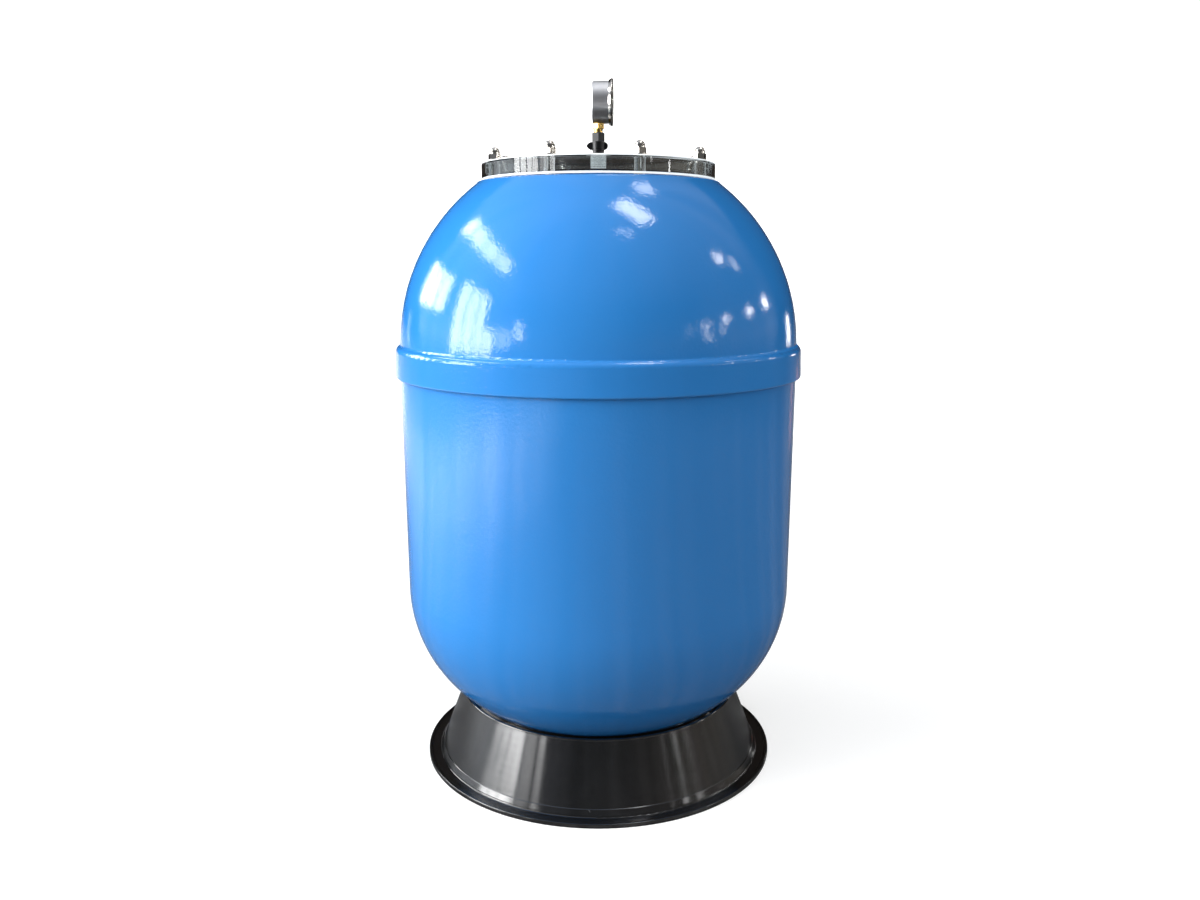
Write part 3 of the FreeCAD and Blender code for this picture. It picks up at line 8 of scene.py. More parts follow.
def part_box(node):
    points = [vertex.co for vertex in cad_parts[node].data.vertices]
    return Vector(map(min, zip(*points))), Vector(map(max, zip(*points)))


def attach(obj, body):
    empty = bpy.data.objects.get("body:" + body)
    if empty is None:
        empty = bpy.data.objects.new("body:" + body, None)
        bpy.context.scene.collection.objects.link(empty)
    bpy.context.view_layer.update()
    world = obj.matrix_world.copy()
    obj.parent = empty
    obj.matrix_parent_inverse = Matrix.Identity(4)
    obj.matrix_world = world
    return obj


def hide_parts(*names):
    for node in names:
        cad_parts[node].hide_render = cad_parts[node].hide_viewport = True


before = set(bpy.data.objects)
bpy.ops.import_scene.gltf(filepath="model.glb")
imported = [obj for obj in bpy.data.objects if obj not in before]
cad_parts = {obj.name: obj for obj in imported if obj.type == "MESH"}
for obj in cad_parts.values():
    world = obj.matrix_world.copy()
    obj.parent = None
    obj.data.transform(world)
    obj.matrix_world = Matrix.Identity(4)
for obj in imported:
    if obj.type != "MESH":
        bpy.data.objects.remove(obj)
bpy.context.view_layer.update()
scene = bpy.context.scene

# ---------------------------------------------------------------- Camera
# The camera stands 1.6 m in front of the filter at chest height, with a wide phone lens tilted
# down a little. The filter stands a hair left of the picture's middle.
EYE_DISTANCE = 1.611
EYE_HEIGHT = 0.8025
EYE_ASIDE = 0.0025
TILT_DOWN = radians(10.74)

lens = bpy.data.cameras.new("phone_lens")
lens.sensor_width = 36
lens.lens = 30.54
lens.clip_start = 0.05
eye = bpy.data.objects.new("camera", lens)
eye.location = (EYE_ASIDE, -EYE_DISTANCE, EYE_HEIGHT)
eye.rotation_euler = (pi / 2 - TILT_DOWN, 0, 0)
scene.collection.objects.link(eye)
scene.camera = eye
scene.view_settings.view_transform = "Standard"


# ---------------------------------------------------------------- Studio floor and backdrop
# A seamless pale paper sweep: flat under the filter, then curved up behind it. It is only the
# stage. The soft light comes from a pale sky all round and from panels.
SWEEP_HALF_WIDTH = 9.0
SWEEP_FRONT = -30.0
SWEEP_BEND_START = 3.0
SWEEP_BEND = 2.5
SWEEP_TOP = 7.0


def linear(code):
    """An sRGB hex colour as linear red, green, blue and alpha."""
    parts = [int(code[i:i + 2], 16) / 255 for i in (1, 3, 5)]
    return tuple(c / 12.92 if c <= 0.04045 else ((c + 0.055) / 1.055) ** 2.4 for c in parts) + (1.0,)


def new_object(name, mesh):
    made = bpy.data.objects.new(name, mesh)
    scene.collection.objects.link(made)
    return made


def node(tree, kind, inputs=None, **settings):
    """One shader node: settings are its own properties, inputs are values or what to link, which is
    a socket, or a node that has one output."""
    made = tree.nodes.new("ShaderNode" + kind)
    for name, value in settings.items():
        setattr(made, name, value)
    for name, value in (inputs or {}).items():
        if isinstance(value, bpy.types.Node):
            value = value.outputs[0]
        if isinstance(value, bpy.types.NodeSocket):
            tree.links.new(value, made.inputs[name])
        else:
            made.inputs[name].default_value = value
    return made


def finish_called(name):
    """A new material with one Principled shader: returns material, node tree and shader."""
    made = bpy.data.materials.new(name)
    made.use_nodes = True
    tree = made.node_tree
    shader = tree.nodes["Principled BSDF"]
    return made, tree, shader


def uprights(tree, direction):
    """Upright streaks for what gloss reflects: brightness that changes with the bearing only."""
    flat = node(tree, "VectorMath", {0: direction, 1: (1.0, 1.0, 0.0)}, operation="MULTIPLY")
    bearing = node(tree, "VectorMath", {0: flat.outputs["Vector"]}, operation="NORMALIZE")
    streaks = node(tree, "TexNoise", {"Vector": bearing.outputs["Vector"], "Scale": 4.5, "Detail": 6.0,
                                      "Roughness": 0.7})
    return node(tree, "MapRange", {"Value": streaks.outputs["Fac"], "From Min": 0.36, "From Max": 0.64,
                                   "To Min": 0.45, "To Max": 1.5}).outputs["Result"]


sweep_line = [(SWEEP_FRONT, 0.0), (SWEEP_BEND_START, 0.0)]
sweep_line += [(SWEEP_BEND_START + SWEEP_BEND * sin(a), SWEEP_BEND * (1 - cos(a)))
               for a in [radians(step * 5) for step in range(1, 19)]]
sweep_line += [(SWEEP_BEND_START + SWEEP_BEND, SWEEP_TOP)]
sweep_mesh = bpy.data.meshes.new("paper_sweep")
sweep_mesh.from_pydata(
    [(side, y, z) for y, z in sweep_line for side in (-SWEEP_HALF_WIDTH, SWEEP_HALF_WIDTH)], [],
    [(2 * i, 2 * i + 1, 2 * i + 3, 2 * i + 2) for i in range(len(sweep_line) - 1)])
for face in sweep_mesh.polygons:
    face.use_smooth = True
sweep = new_object("paper_sweep", sweep_mesh)

# The eye sees the paper pale. Gloss and clear parts see it with painted light and shade: dim under the
# filter, paler on the left and dark brown behind, so that the underside stays in shade and clear parts keep
# their outlines.
paper, tree, shader = finish_called("Pale backdrop paper, matt")
rays = node(tree, "LightPath")
place = node(tree, "TexCoord").outputs["Object"]
spot = node(tree, "SeparateXYZ", {"Vector": place})
left = node(tree, "MapRange", {"Value": spot.outputs["X"], "From Min": -0.9, "From Max": -2.0})
ground_painted_light_and_shade = node(tree, "MixRGB", {"Fac": left.outputs["Result"], "Color1": linear("#7C7B7A"),
                                    "Color2": linear("#ECEDEF")})
ground = node(tree, "MixRGB", {"Fac": 1.0, "Color1": ground_painted_light_and_shade.outputs["Color"],
                               "Color2": uprights(tree, place)}, blend_type="MULTIPLY")
behind = node(tree, "MapRange", {"Value": spot.outputs["Z"], "From Min": 0.05, "From Max": 0.7})
dim = node(tree, "MixRGB", {"Fac": behind.outputs["Result"], "Color1": ground.outputs["Color"],
                            "Color2": linear("#1F1A17")})
tint = node(tree, "MixRGB", {"Fac": rays.outputs["Is Camera Ray"], "Color1": dim.outputs["Color"],
                             "Color2": linear("#C9C9C8")})
tree.links.new(tint.outputs["Color"], shader.inputs["Base Color"])
glow = node(tree, "MixRGB", {"Fac": rays.outputs["Is Camera Ray"], "Color1": linear("#000000"),
                             "Color2": linear("#C6C6C5")})
tree.links.new(glow.outputs["Color"], shader.inputs["Emission Color"])
shader.inputs["Emission Strength"].default_value = 1.0
shader.inputs["Roughness"].default_value = 0.9
shader.inputs["Specular IOR Level"].default_value = 0.1
sweep_mesh.materials.append(paper)

# The sky as it shows in gloss: pale overhead, dim a little above eye level, bright at eye level and
# dark below it, cool on the left and warm on the right. The eye sees it plain white.
world = bpy.data.worlds.new("soft_sky")
world.use_nodes = True
tree = world.node_tree
bearing = node(tree, "TexCoord").outputs["Generated"]
way = node(tree, "SeparateXYZ", {"Vector": bearing})
sky = node(tree, "ValToRGB", {"Fac": node(tree, "MapRange", {
    "Value": way.outputs["Z"], "From Min": -1.0, "From Max": 1.0}).outputs["Result"]})
for index, (position, tone) in enumerate(((0.0, "#343436"), (0.46, "#5E6063"), (0.53, "#C4C8CC"),
                                          (0.6, "#8A8D91"), (0.68, "#6A6C70"), (0.78, "#AEB2B8"),
                                          (1.0, "#D2D6DB"))):
    stop = sky.color_ramp.elements[index] if index < 2 else sky.color_ramp.elements.new(position)
    stop.position = position
    stop.color = linear(tone)
rays = node(tree, "LightPath")
side = node(tree, "MapRange", {"Value": way.outputs["X"], "From Min": -1.0})
cast = node(tree, "ValToRGB", {"Fac": side.outputs["Result"]})
for index, (position, tone) in enumerate(((0.0, "#F8FBFF"), (0.22, "#C2C4C8"), (1.0, "#92887C"))):
    stop = cast.color_ramp.elements[index] if index < 2 else cast.color_ramp.elements.new(position)
    stop.position = position
    stop.color = linear(tone)
lit = node(tree, "VectorMath", {0: cast.outputs["Color"], "Scale": uprights(tree, bearing)},
           operation="SCALE")
sided = node(tree, "VectorMath", {0: sky.outputs["Color"], 1: lit.outputs["Vector"]}, operation="MULTIPLY")
front = node(tree, "MapRange", {"Value": way.outputs["Y"], "From Min": -1.0, "From Max": -0.1,
                                "To Min": 0.6, "To Max": 2.2})
fronted = node(tree, "VectorMath", {0: sided.outputs["Vector"], "Scale": front.outputs["Result"]},
               operation="SCALE")
tint = node(tree, "MixRGB", {"Fac": rays.outputs["Is Camera Ray"], "Color1": fronted.outputs["Vector"],
                             "Color2": linear("#F4F4F4")})
tree.links.new(tint.outputs["Color"], tree.nodes["Background"].inputs["Color"])
tree.nodes["Background"].inputs["Strength"].default_value = 1.0
scene.world = world


# ---------------------------------------------------------------- Studio light
# Soft panels: rows of upright ones on the left, some overhead and small ones on the right. Each is
# placed where its reflection falls on the gloss tank in the photograph. The fills show in no gloss.
LEFT_WALL = -3.5
RIGHT_WALL = 3.5
CEILING = 4.0
ROW_GAP = 0.09


def panel(name, place, width, height, power, aim=(0.0, 0.0, 0.65), seen=True):
    """A soft rectangular light that faces the filter."""
    light = bpy.data.lights.new(name, "AREA")
    light.shape = "RECTANGLE"
    light.size = width
    light.size_y = height
    light.energy = power
    lamp = bpy.data.objects.new(name, light)
    lamp.location = place
    lamp.rotation_euler = (Vector(aim) - Vector(place)).to_track_quat("-Z", "Y").to_euler()
    lamp.visible_camera = False
    lamp.visible_transmission = False
    lamp.visible_glossy = seen
    scene.collection.objects.link(lamp)
    return lamp


def left_row(name, y_low, y_high, z_low, z_high, count, brightness):
    """A row of upright panels on the left, all in one plane."""
    pitch = (y_high - y_low) / count
    width, height, level = pitch - ROW_GAP, z_high - z_low, (z_low + z_high) / 2
    for index in range(count):
        middle = y_low + (index + 0.5) * pitch
        panel(name, (LEFT_WALL, middle, level), width, height, brightness * width * height,
              aim=(0.0, middle, level))


left_row("row_near", -1.75, -0.25, 0.62, 2.35, 3, 40)
left_row("row_middle", 0.3, 2.3, 1.35, 2.25, 3, 34)
left_row("row_low", -2.25, -1.7, 0.6, 1.3, 1, 40)
left_row("row_front", -3.25, -2.35, 0.75, 1.45, 1, 12)
left_row("row_high", -2.1, 2.2, 3.4, 4.15, 4, 30)
left_row("row_far", -4.1, -3.4, 1.15, 1.9, 1, 24)
for x, y, width, depth, power in ((0.88, -0.55, 0.56, 1.0, 20), (1.0, 0.6, 0.5, 0.45, 4),
                                  (0.6, -1.5, 0.2, 0.2, 0.8), (0.88, -1.55, 0.2, 0.2, 0.8)):
    panel("overhead", (x, y, CEILING), width, depth, power)
for y, z, width, height, power in ((-2.9, 1.42, 0.12, 0.2, 0.5), (-2.0, 1.45, 0.2, 0.14, 1.6),
                                   (-1.05, 1.45, 0.24, 0.14, 2.4), (0.1, 1.42, 0.24, 0.12, 2.4),
                                   (1.15, 1.45, 0.2, 0.2, 3.0), (-1.3, 1.2, 0.12, 0.12, 0.7),
                                   (-2.0, 1.1, 0.15, 0.2, 1.0), (-0.15, 3.2, 0.26, 0.3, 4.0),
                                   (0.35, 2.75, 0.12, 0.3, 1.2)):
    panel("glint_right", (RIGHT_WALL, y, z), width, height, power)
panel("edge_left", (-2.5, 2.3, 0.7), 0.12, 0.4, 0.3)
panel("edge_right", (2.5, 2.3, 0.68), 0.3, 0.36, 2.4)
warm = panel("edge_right_warm", (1.78, 2.3, 0.16), 0.04, 0.45, 0.18)
warm.data.color = linear("#F0A08C")[:3]
panel("left_fill", (-3.2, -1.6, 2.0), 2.4, 2.4, 100, seen=False)
panel("front_fill", (-0.8, -3.6, 2.6), 3.0, 2.6, 38, seen=False)
panel("right_fill", (3.4, -0.9, 1.4), 1.8, 1.8, 34, seen=False)
backdrop = panel("backdrop_light", (0.0, 2.6, 5.2), 6.0, 1.2, 240, aim=(0.0, 5.2, 1.6), seen=False)
backdrop.data.spread = radians(100)


# ---------------------------------------------------------------- Base skirt
# One moulding of black polyethylene, satin from its mould. Rings left by the turned mould draw
# every reflection out into upright streaks. The tank's weight keeps it in place.
def dress(material, *names):
    """Give CAD pieces their finish and shade their curved faces smooth."""
    for name in names:
        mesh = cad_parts[name].data
        mesh.materials.clear()
        mesh.materials.append(material)
        for face in mesh.polygons:
            face.use_smooth = True


TURNING_RINGS = 0.01005
DUST_PATCH = 0.0714
SCUFF = 0.0182


def wave_scale(spacing):
    """The scale that gives Blender's wave texture this distance from crest to crest, in metres."""
    return 2 * pi / (20 * spacing)


# Carbon black through and through; only scuffs are paler. The rings are finer on the real skirt and
# drawn as coarse as they need to show. They stretch every reflection into an upright streak.
black_satin, tree, shader = finish_called("Black polyethylene, satin, with turning rings")
place = node(tree, "TexCoord").outputs["Object"]
rings = node(tree, "TexWave", {"Vector": place, "Scale": wave_scale(TURNING_RINGS), "Distortion": 0.6,
                               "Detail": 3.0}, bands_direction="Z")
dust = node(tree, "TexNoise", {"Vector": place, "Scale": 1 / DUST_PATCH, "Detail": 8.0, "Roughness": 0.7})
worn = node(tree, "MapRange", {"Value": dust.outputs["Fac"], "From Min": 0.35, "From Max": 0.75,
                               "To Min": 0.17, "To Max": 0.24})
tint = node(tree, "MixRGB", {"Fac": dust.outputs["Fac"], "Color1": linear("#08090A"),
                             "Color2": linear("#0E0F10")})
bump = node(tree, "Bump", {"Height": rings.outputs["Fac"], "Strength": 0.05, "Distance": 0.0003})
scrapes = node(tree, "TexNoise", {"Vector": place, "Scale": 1 / SCUFF, "Detail": 9.0, "Roughness": 0.65,
                                  "Distortion": 0.8})
scuff = node(tree, "MapRange", {"Value": scrapes.outputs["Fac"], "From Min": 0.69, "From Max": 0.74})
tint = node(tree, "MixRGB", {"Fac": scuff.outputs["Result"], "Color1": tint.outputs["Color"],
                             "Color2": linear("#6E7276")})
tree.links.new(tint.outputs["Color"], shader.inputs["Base Color"])
tree.links.new(worn.outputs["Result"], shader.inputs["Roughness"])
tree.links.new(bump.outputs["Normal"], shader.inputs["Normal"])
shader.inputs["IOR"].default_value = 1.6
shader.inputs["Specular IOR Level"].default_value = 1.0
shader.inputs["Anisotropic"].default_value = 0.9
shader.inputs["Anisotropic Rotation"].default_value = 0.25
around = node(tree, "Tangent", direction_type="RADIAL", axis="Z")
tree.links.new(around.outputs["Tangent"], shader.inputs["Tangent"])
dress(black_satin, "base_skirt")


# ---------------------------------------------------------------- Tank shells
# Glass-fibre laminate, built up over a polished mould that was first sprayed with blue gelcoat.
# The outside has the mould's gloss with a faint orange peel; the inside is bare laminate.
ORANGE_PEEL = 0.0045
LONG_WAVES = 0.09
COLOUR_CLOUD = 0.4545
FIBRE_TUFT = 0.0111

# Gelcoat is pigmented polyester: colour under a hard clear-looking gloss. The peel crinkles the edges
# of every highlight, and the long waves bend them a little. The peel is drawn coarser than it is, to show.
gelcoat, tree, shader = finish_called("Blue gelcoat on glass-fibre laminate, polished")
geometry = node(tree, "NewGeometry")
place = node(tree, "TexCoord").outputs["Object"]
flat_place = node(tree, "VectorMath", {0: place, 1: (1.0, 1.0, 0.0)}, operation="MULTIPLY")
outward = node(tree, "VectorMath", {0: flat_place.outputs["Vector"], 1: geometry.outputs["Normal"]},
               operation="DOT_PRODUCT")
inside = node(tree, "MapRange", {"Value": outward.outputs["Value"], "From Min": -0.002, "From Max": 0.002,
                                 "To Min": 1.0, "To Max": 0.0})
cloud = node(tree, "TexNoise", {"Vector": place, "Scale": 1 / COLOUR_CLOUD, "Detail": 3.0, "Roughness": 0.5})
blue = node(tree, "MixRGB", {"Fac": cloud.outputs["Fac"], "Color1": linear("#3084CD"),
                             "Color2": linear("#2B79C3")})
fibres = node(tree, "TexNoise", {"Vector": place, "Scale": 1 / FIBRE_TUFT, "Detail": 10.0,
                                 "Roughness": 0.75, "Distortion": 1.5})
laminate = node(tree, "MixRGB", {"Fac": fibres.outputs["Fac"], "Color1": linear("#4A3B33"),
                                 "Color2": linear("#7A685A")})
skin = node(tree, "MixRGB", {"Fac": inside.outputs["Result"], "Color1": blue.outputs["Color"],
                             "Color2": laminate.outputs["Color"]})
gloss = node(tree, "MapRange", {"Value": inside.outputs["Result"], "To Min": 0.09, "To Max": 0.55})
peel = node(tree, "TexNoise", {"Vector": place, "Scale": 1 / ORANGE_PEEL, "Detail": 2.0})
waves = node(tree, "TexNoise", {"Vector": place, "Scale": 1 / LONG_WAVES, "Detail": 1.0})
wavy = node(tree, "Bump", {"Height": waves.outputs["Fac"], "Strength": 0.2, "Distance": 0.004})
bump = node(tree, "Bump", {"Height": peel.outputs["Fac"], "Strength": 0.16, "Distance": 0.0012,
                           "Normal": wavy.outputs["Normal"]})
tree.links.new(skin.outputs["Color"], shader.inputs["Base Color"])
tree.links.new(gloss.outputs["Result"], shader.inputs["Roughness"])
tree.links.new(bump.outputs["Normal"], shader.inputs["Normal"])
shader.inputs["IOR"].default_value = 1.55
dress(gelcoat, "lower_shell", "upper_shell")


# ---------------------------------------------------------------- Wall fittings and drain
# Black glass-filled ABS mouldings, screwed tight through the flat pads with back nuts. Only the
# flanges and the threaded spouts show behind the tank.
# The fine grain of the mould takes the shine off: highlights are wide and grey. The grain is drawn
# about twice as coarse as it is.
SPARK_GRAIN = 0.000556
abs_black, tree, shader = finish_called("Black ABS, moulded, fine spark-eroded grain")
place = node(tree, "TexCoord").outputs["Object"]
grain = node(tree, "TexNoise", {"Vector": place, "Scale": 1 / SPARK_GRAIN, "Detail": 2.0})
bump = node(tree, "Bump", {"Height": grain.outputs["Fac"], "Strength": 0.12, "Distance": 0.0002})
tree.links.new(bump.outputs["Normal"], shader.inputs["Normal"])
shader.inputs["Base Color"].default_value = linear("#141516")
shader.inputs["Roughness"].default_value = 0.38
dress(abs_black, "inlet_nut", "outlet_nut", "drain_nut", "drain_cap", "collector_hub", "diffuser")


ROWS_PER_THREAD = 6
SHARP_EDGE = radians(30)


def turned(name, outline, threads, steps, placings):
    """A turned piece: an outline of (radius, height), closed on itself, with threads cut in it, given as
    (start, end, pitch, depth). It is made once for each placing, all in one mesh."""
    rows = []
    for (r, s), (r_next, s_next) in zip(outline, outline[1:] + outline[:1]):
        low, high = min(s, s_next), max(s, s_next)
        cut = [t for t in threads if abs(r - r_next) < 1e-6 and t[0] <= low and high <= t[1]]
        count = max(1, round((high - low) / (cut[0][2] / ROWS_PER_THREAD))) if cut else 1
        for step in range(count):
            height = s + (s_next - s) * step / count
            inside = cut and min(abs(height - cut[0][0]), abs(height - cut[0][1])) > 1e-6
            rows.append((r, height, cut[0] if inside else None))
        rows += [(r_next, s_next, None)] if cut else []
    bm = bmesh.new()
    for placing in placings:
        first = len(bm.verts)
        for r, s, cut in rows:
            for step in range(steps):
                bearing = 2 * pi * step / steps
                dip = 0.0
                if cut:
                    start, end, pitch, depth = cut
                    phase = (s / pitch - step / steps) % 1.0
                    dip = depth * abs(2 * phase - 1) * min(1.0, (s - start) / pitch, (end - s) / pitch)
                bm.verts.new(placing @ Vector(((r - dip) * cos(bearing), (r - dip) * sin(bearing), s)))
        bm.verts.ensure_lookup_table()
        for row in range(len(rows)):
            below, above = first + row * steps, first + (row + 1) % len(rows) * steps
            for step in range(steps):
                after = (step + 1) % steps
                corners = (below + step, below + after, above + after, above + step)
                bm.faces.new([bm.verts[i] for i in corners])
    bmesh.ops.remove_doubles(bm, verts=bm.verts, dist=1e-7)
    bmesh.ops.recalc_face_normals(bm, faces=bm.faces)
    mesh = bpy.data.meshes.new(name)
    bm.to_mesh(mesh)
    bm.free()
    for face in mesh.polygons:
        face.use_smooth = True
    mesh.set_sharp_from_angle(angle=SHARP_EDGE)
    return new_object(name, mesh)


# Heights are above the floor, and all other places are distances from the tank's axis.
PORT_HEIGHTS = {"outlet": 0.345, "inlet": 0.470}
PORT_BORE, PIPE_SOCKET, SOCKET_FLOOR = 0.022, 0.02505, 0.2975
PORT_THREAD, PORT_PITCH, PORT_THREAD_DEPTH = 0.0298, 0.0023, 0.0013
FLANGE_RADIUS, FLANGE_ROUND = 0.042, 0.002
SHANK_END, FLANGE_INSIDE, FLANGE_OUTSIDE, SPOUT_END = 0.2725, 0.3115, 0.3195, 0.3455
LIP = 0.0012
PORT_STEPS = 72
for port, height in PORT_HEIGHTS.items():
    across_wall = Matrix.Translation((0, 0, height)) @ Matrix.Rotation(-pi / 2, 4, "X")
    fitting = turned(port + "_fitting_threaded", [
        (PORT_BORE, SOCKET_FLOOR), (PIPE_SOCKET, SOCKET_FLOOR), (PIPE_SOCKET, SHANK_END),
        (PORT_THREAD - LIP, SHANK_END), (PORT_THREAD, SHANK_END + LIP), (PORT_THREAD, FLANGE_INSIDE),
        (FLANGE_RADIUS, FLANGE_INSIDE), (FLANGE_RADIUS, FLANGE_OUTSIDE - FLANGE_ROUND),
        (FLANGE_RADIUS - 0.3 * FLANGE_ROUND, FLANGE_OUTSIDE - 0.3 * FLANGE_ROUND),
        (FLANGE_RADIUS - FLANGE_ROUND, FLANGE_OUTSIDE), (PORT_THREAD, FLANGE_OUTSIDE),
        (PORT_THREAD, SPOUT_END - LIP), (PORT_THREAD - LIP, SPOUT_END), (PORT_BORE, SPOUT_END)],
        [(SHANK_END + LIP, FLANGE_INSIDE, PORT_PITCH, PORT_THREAD_DEPTH),
         (FLANGE_OUTSIDE, SPOUT_END - LIP, PORT_PITCH, PORT_THREAD_DEPTH)],
        PORT_STEPS, [across_wall])
    fitting.data.materials.append(abs_black)
    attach(fitting, "tank")
    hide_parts(port + "_fitting")
dress(abs_black, "drain_fitting")

# Rubber hardly shines, and wax that has bloomed out of it leaves it unevenly grey.
BLOOM = 0.00833
rubber, tree, shader = finish_called("Black EPDM rubber, moulded, matt")
place = node(tree, "TexCoord").outputs["Object"]
bloom = node(tree, "TexNoise", {"Vector": place, "Scale": 1 / BLOOM, "Detail": 5.0})
tone = node(tree, "MixRGB", {"Fac": bloom.outputs["Fac"], "Color1": linear("#0E0E0F"),
                             "Color2": linear("#1C1C1E")})
tree.links.new(tone.outputs["Color"], shader.inputs["Base Color"])
shader.inputs["Roughness"].default_value = 0.7
dress(rubber, "inlet_gasket", "outlet_gasket", "drain_gasket", "drain_seal", "lid_gasket",
      "purge_gasket")


# ---------------------------------------------------------------- Inside pipework
# White rigid PVC tube, extruded, with moulded elbows, all solvent-welded. The slotted arms screw
# into the hub at the bottom.
# A slightly warm white with a soft gloss, a little unlike from place to place.
PIPE_SHADE = 0.04
pvc, tree, shader = finish_called("White PVC pipe, extruded, soft gloss")
place = node(tree, "TexCoord").outputs["Object"]
tone = node(tree, "TexNoise", {"Vector": place, "Scale": 1 / PIPE_SHADE, "Detail": 4.0})
shade = node(tree, "MixRGB", {"Fac": tone.outputs["Fac"], "Color1": linear("#E3E2DD"),
                              "Color2": linear("#D3D2CC")})
tree.links.new(shade.outputs["Color"], shader.inputs["Base Color"])
shader.inputs["Roughness"].default_value = 0.32
dress(pvc, "inlet_elbow", "riser_pipe", "outlet_pipe", "outlet_elbow", "drop_pipe", "drain_strainer",
      *["lateral_%d" % number for number in range(1, 9)])


# ---------------------------------------------------------------- Clear lid
# Injection-moulded clear polycarbonate. It is water-clear through its face and a little milky
# where the plastic is thick, at the bosses and the edges.
LID_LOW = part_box("lid")[0][2]
LID_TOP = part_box("lid")[1][2]
LID_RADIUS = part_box("lid")[1][0]
FOOT_EDGE, TOP_EDGE = 0.0026, 0.0018
BOLT_CIRCLE = 0.163
BOSS_RADIUS = 0.0076
BOSS_SKIN = 0.0012
RIM_WIDTH = 0.008
FIRST_BOLT = radians(-69.4)
BOLTS = 8
CENTRE_BOSS = 0.0125
CENTRE_RINGS = 0.0065
MILK_SWIRL = 0.00625

# The pattern finds the edges, the bolt bosses and the centre boss by their places in the lid. There the
# plastic is thick and a little frosted, and it has a faint painted glow: it gives off light of its own,
# which stands in for light that travels in the plastic.
clear, tree, shader = finish_called("Clear polycarbonate, moulded and polished")
place = node(tree, "TexCoord").outputs["Object"]
height = node(tree, "SeparateXYZ", {"Vector": place}).outputs["Z"]
level = node(tree, "VectorMath", {0: place, 1: (1.0, 1.0, 0.0)}, operation="MULTIPLY").outputs["Vector"]
radius = node(tree, "VectorMath", {0: level}, operation="LENGTH").outputs["Value"]

foot = node(tree, "Math", {0: height, 1: LID_LOW + FOOT_EDGE}, operation="LESS_THAN")
top = node(tree, "Math", {0: height, 1: LID_TOP - TOP_EDGE}, operation="GREATER_THAN")
at_rim = node(tree, "Math", {0: radius, 1: LID_RADIUS - RIM_WIDTH}, operation="GREATER_THAN")
foot_or_top = node(tree, "Math", {0: foot, 1: top}, operation="MAXIMUM")
rim_edges = node(tree, "Math", {0: foot_or_top, 1: at_rim}, operation="MULTIPLY")

to_bolt = 1.0
for bolt in range(BOLTS):
    bearing = FIRST_BOLT + 2 * pi * bolt / BOLTS
    bolt_place = (BOLT_CIRCLE * cos(bearing), BOLT_CIRCLE * sin(bearing), 0.0)
    away = node(tree, "VectorMath", {0: level, 1: bolt_place}, operation="DISTANCE").outputs["Value"]
    to_bolt = node(tree, "Math", {0: to_bolt, 1: away}, operation="MINIMUM")
# Towards their outlines the bosses' sides turn milkier and glow more, which is partly a painted highlight.
facing = node(tree, "LayerWeight", {"Blend": 0.5}).outputs["Facing"]
grazing = node(tree, "Math", {0: facing, 1: 1.5}, operation="POWER")
boss_side = node(tree, "Math", {0: to_bolt, 1: BOSS_RADIUS, 2: BOSS_SKIN}, operation="COMPARE")
boss_edges = node(tree, "Math", {0: boss_side, 1: grazing}, operation="MULTIPLY")

at_centre = node(tree, "Math", {0: radius, 1: CENTRE_BOSS}, operation="LESS_THAN")
ring_turn = node(tree, "Math", {0: height, 1: 2 * pi / CENTRE_RINGS}, operation="MULTIPLY")
ring_swing = node(tree, "Math", {0: ring_turn}, operation="SINE")
rings = node(tree, "Math", {0: ring_swing, 1: 0.1, 2: 0.88}, operation="MULTIPLY_ADD")
centre = node(tree, "Math", {0: at_centre, 1: rings}, operation="MULTIPLY")

edges = node(tree, "Math", {0: rim_edges, 1: boss_edges}, operation="MAXIMUM")
cloudy = node(tree, "Math", {0: edges, 1: centre}, operation="MAXIMUM")
swirl = node(tree, "TexNoise", {"Vector": place, "Scale": 1 / MILK_SWIRL, "Detail": 5.0}).outputs["Fac"]
uneven = node(tree, "Math", {0: swirl, 1: 0.4, 2: 0.6}, operation="MULTIPLY_ADD")
milk_and_glow = node(tree, "Math", {0: cloudy, 1: uneven}, operation="MULTIPLY")
through = node(tree, "Math", {0: 1.0, 1: milk_and_glow}, operation="SUBTRACT")
frost = node(tree, "Math", {0: cloudy, 1: 0.22, 2: 0.03}, operation="MULTIPLY_ADD")
# Painted glow: the milky places give off a faint light of their own, though they are no lamp.
painted_glow = node(tree, "MixRGB", {"Fac": milk_and_glow, "Color1": linear("#000000"), "Color2": linear("#B9C0C4")})
tree.links.new(through.outputs["Value"], shader.inputs["Transmission Weight"])
tree.links.new(frost.outputs["Value"], shader.inputs["Roughness"])
tree.links.new(painted_glow.outputs["Color"], shader.inputs["Emission Color"])
shader.inputs["Emission Strength"].default_value = 0.9
shader.inputs["Base Color"].default_value = linear("#F4F7F7")
shader.inputs["IOR"].default_value = 1.5
dress(clear, "lid")


# ---------------------------------------------------------------- Studs, washers and domed nuts
# A2 stainless steel: bright drawn studs set in brass inserts, plain washers, and domed nuts that
# were barrel-polished, so that they mirror what is around them.
# A near mirror with a haze from the barrel, warmer than chrome.
BARREL_HAZE = 0.00333
stainless, tree, shader = finish_called("Stainless steel, polished")
place = node(tree, "TexCoord").outputs["Object"]
haze = node(tree, "TexNoise", {"Vector": place, "Scale": 1 / BARREL_HAZE, "Detail": 4.0})
rough = node(tree, "MapRange", {"Value": haze.outputs["Fac"], "To Min": 0.08, "To Max": 0.2})
tree.links.new(rough.outputs["Result"], shader.inputs["Roughness"])
shader.inputs["Base Color"].default_value = linear("#D6D2CC")
shader.inputs["Metallic"].default_value = 1.0
dress(stainless, "lid_washers", "lid_nuts", "gauge_bezel")

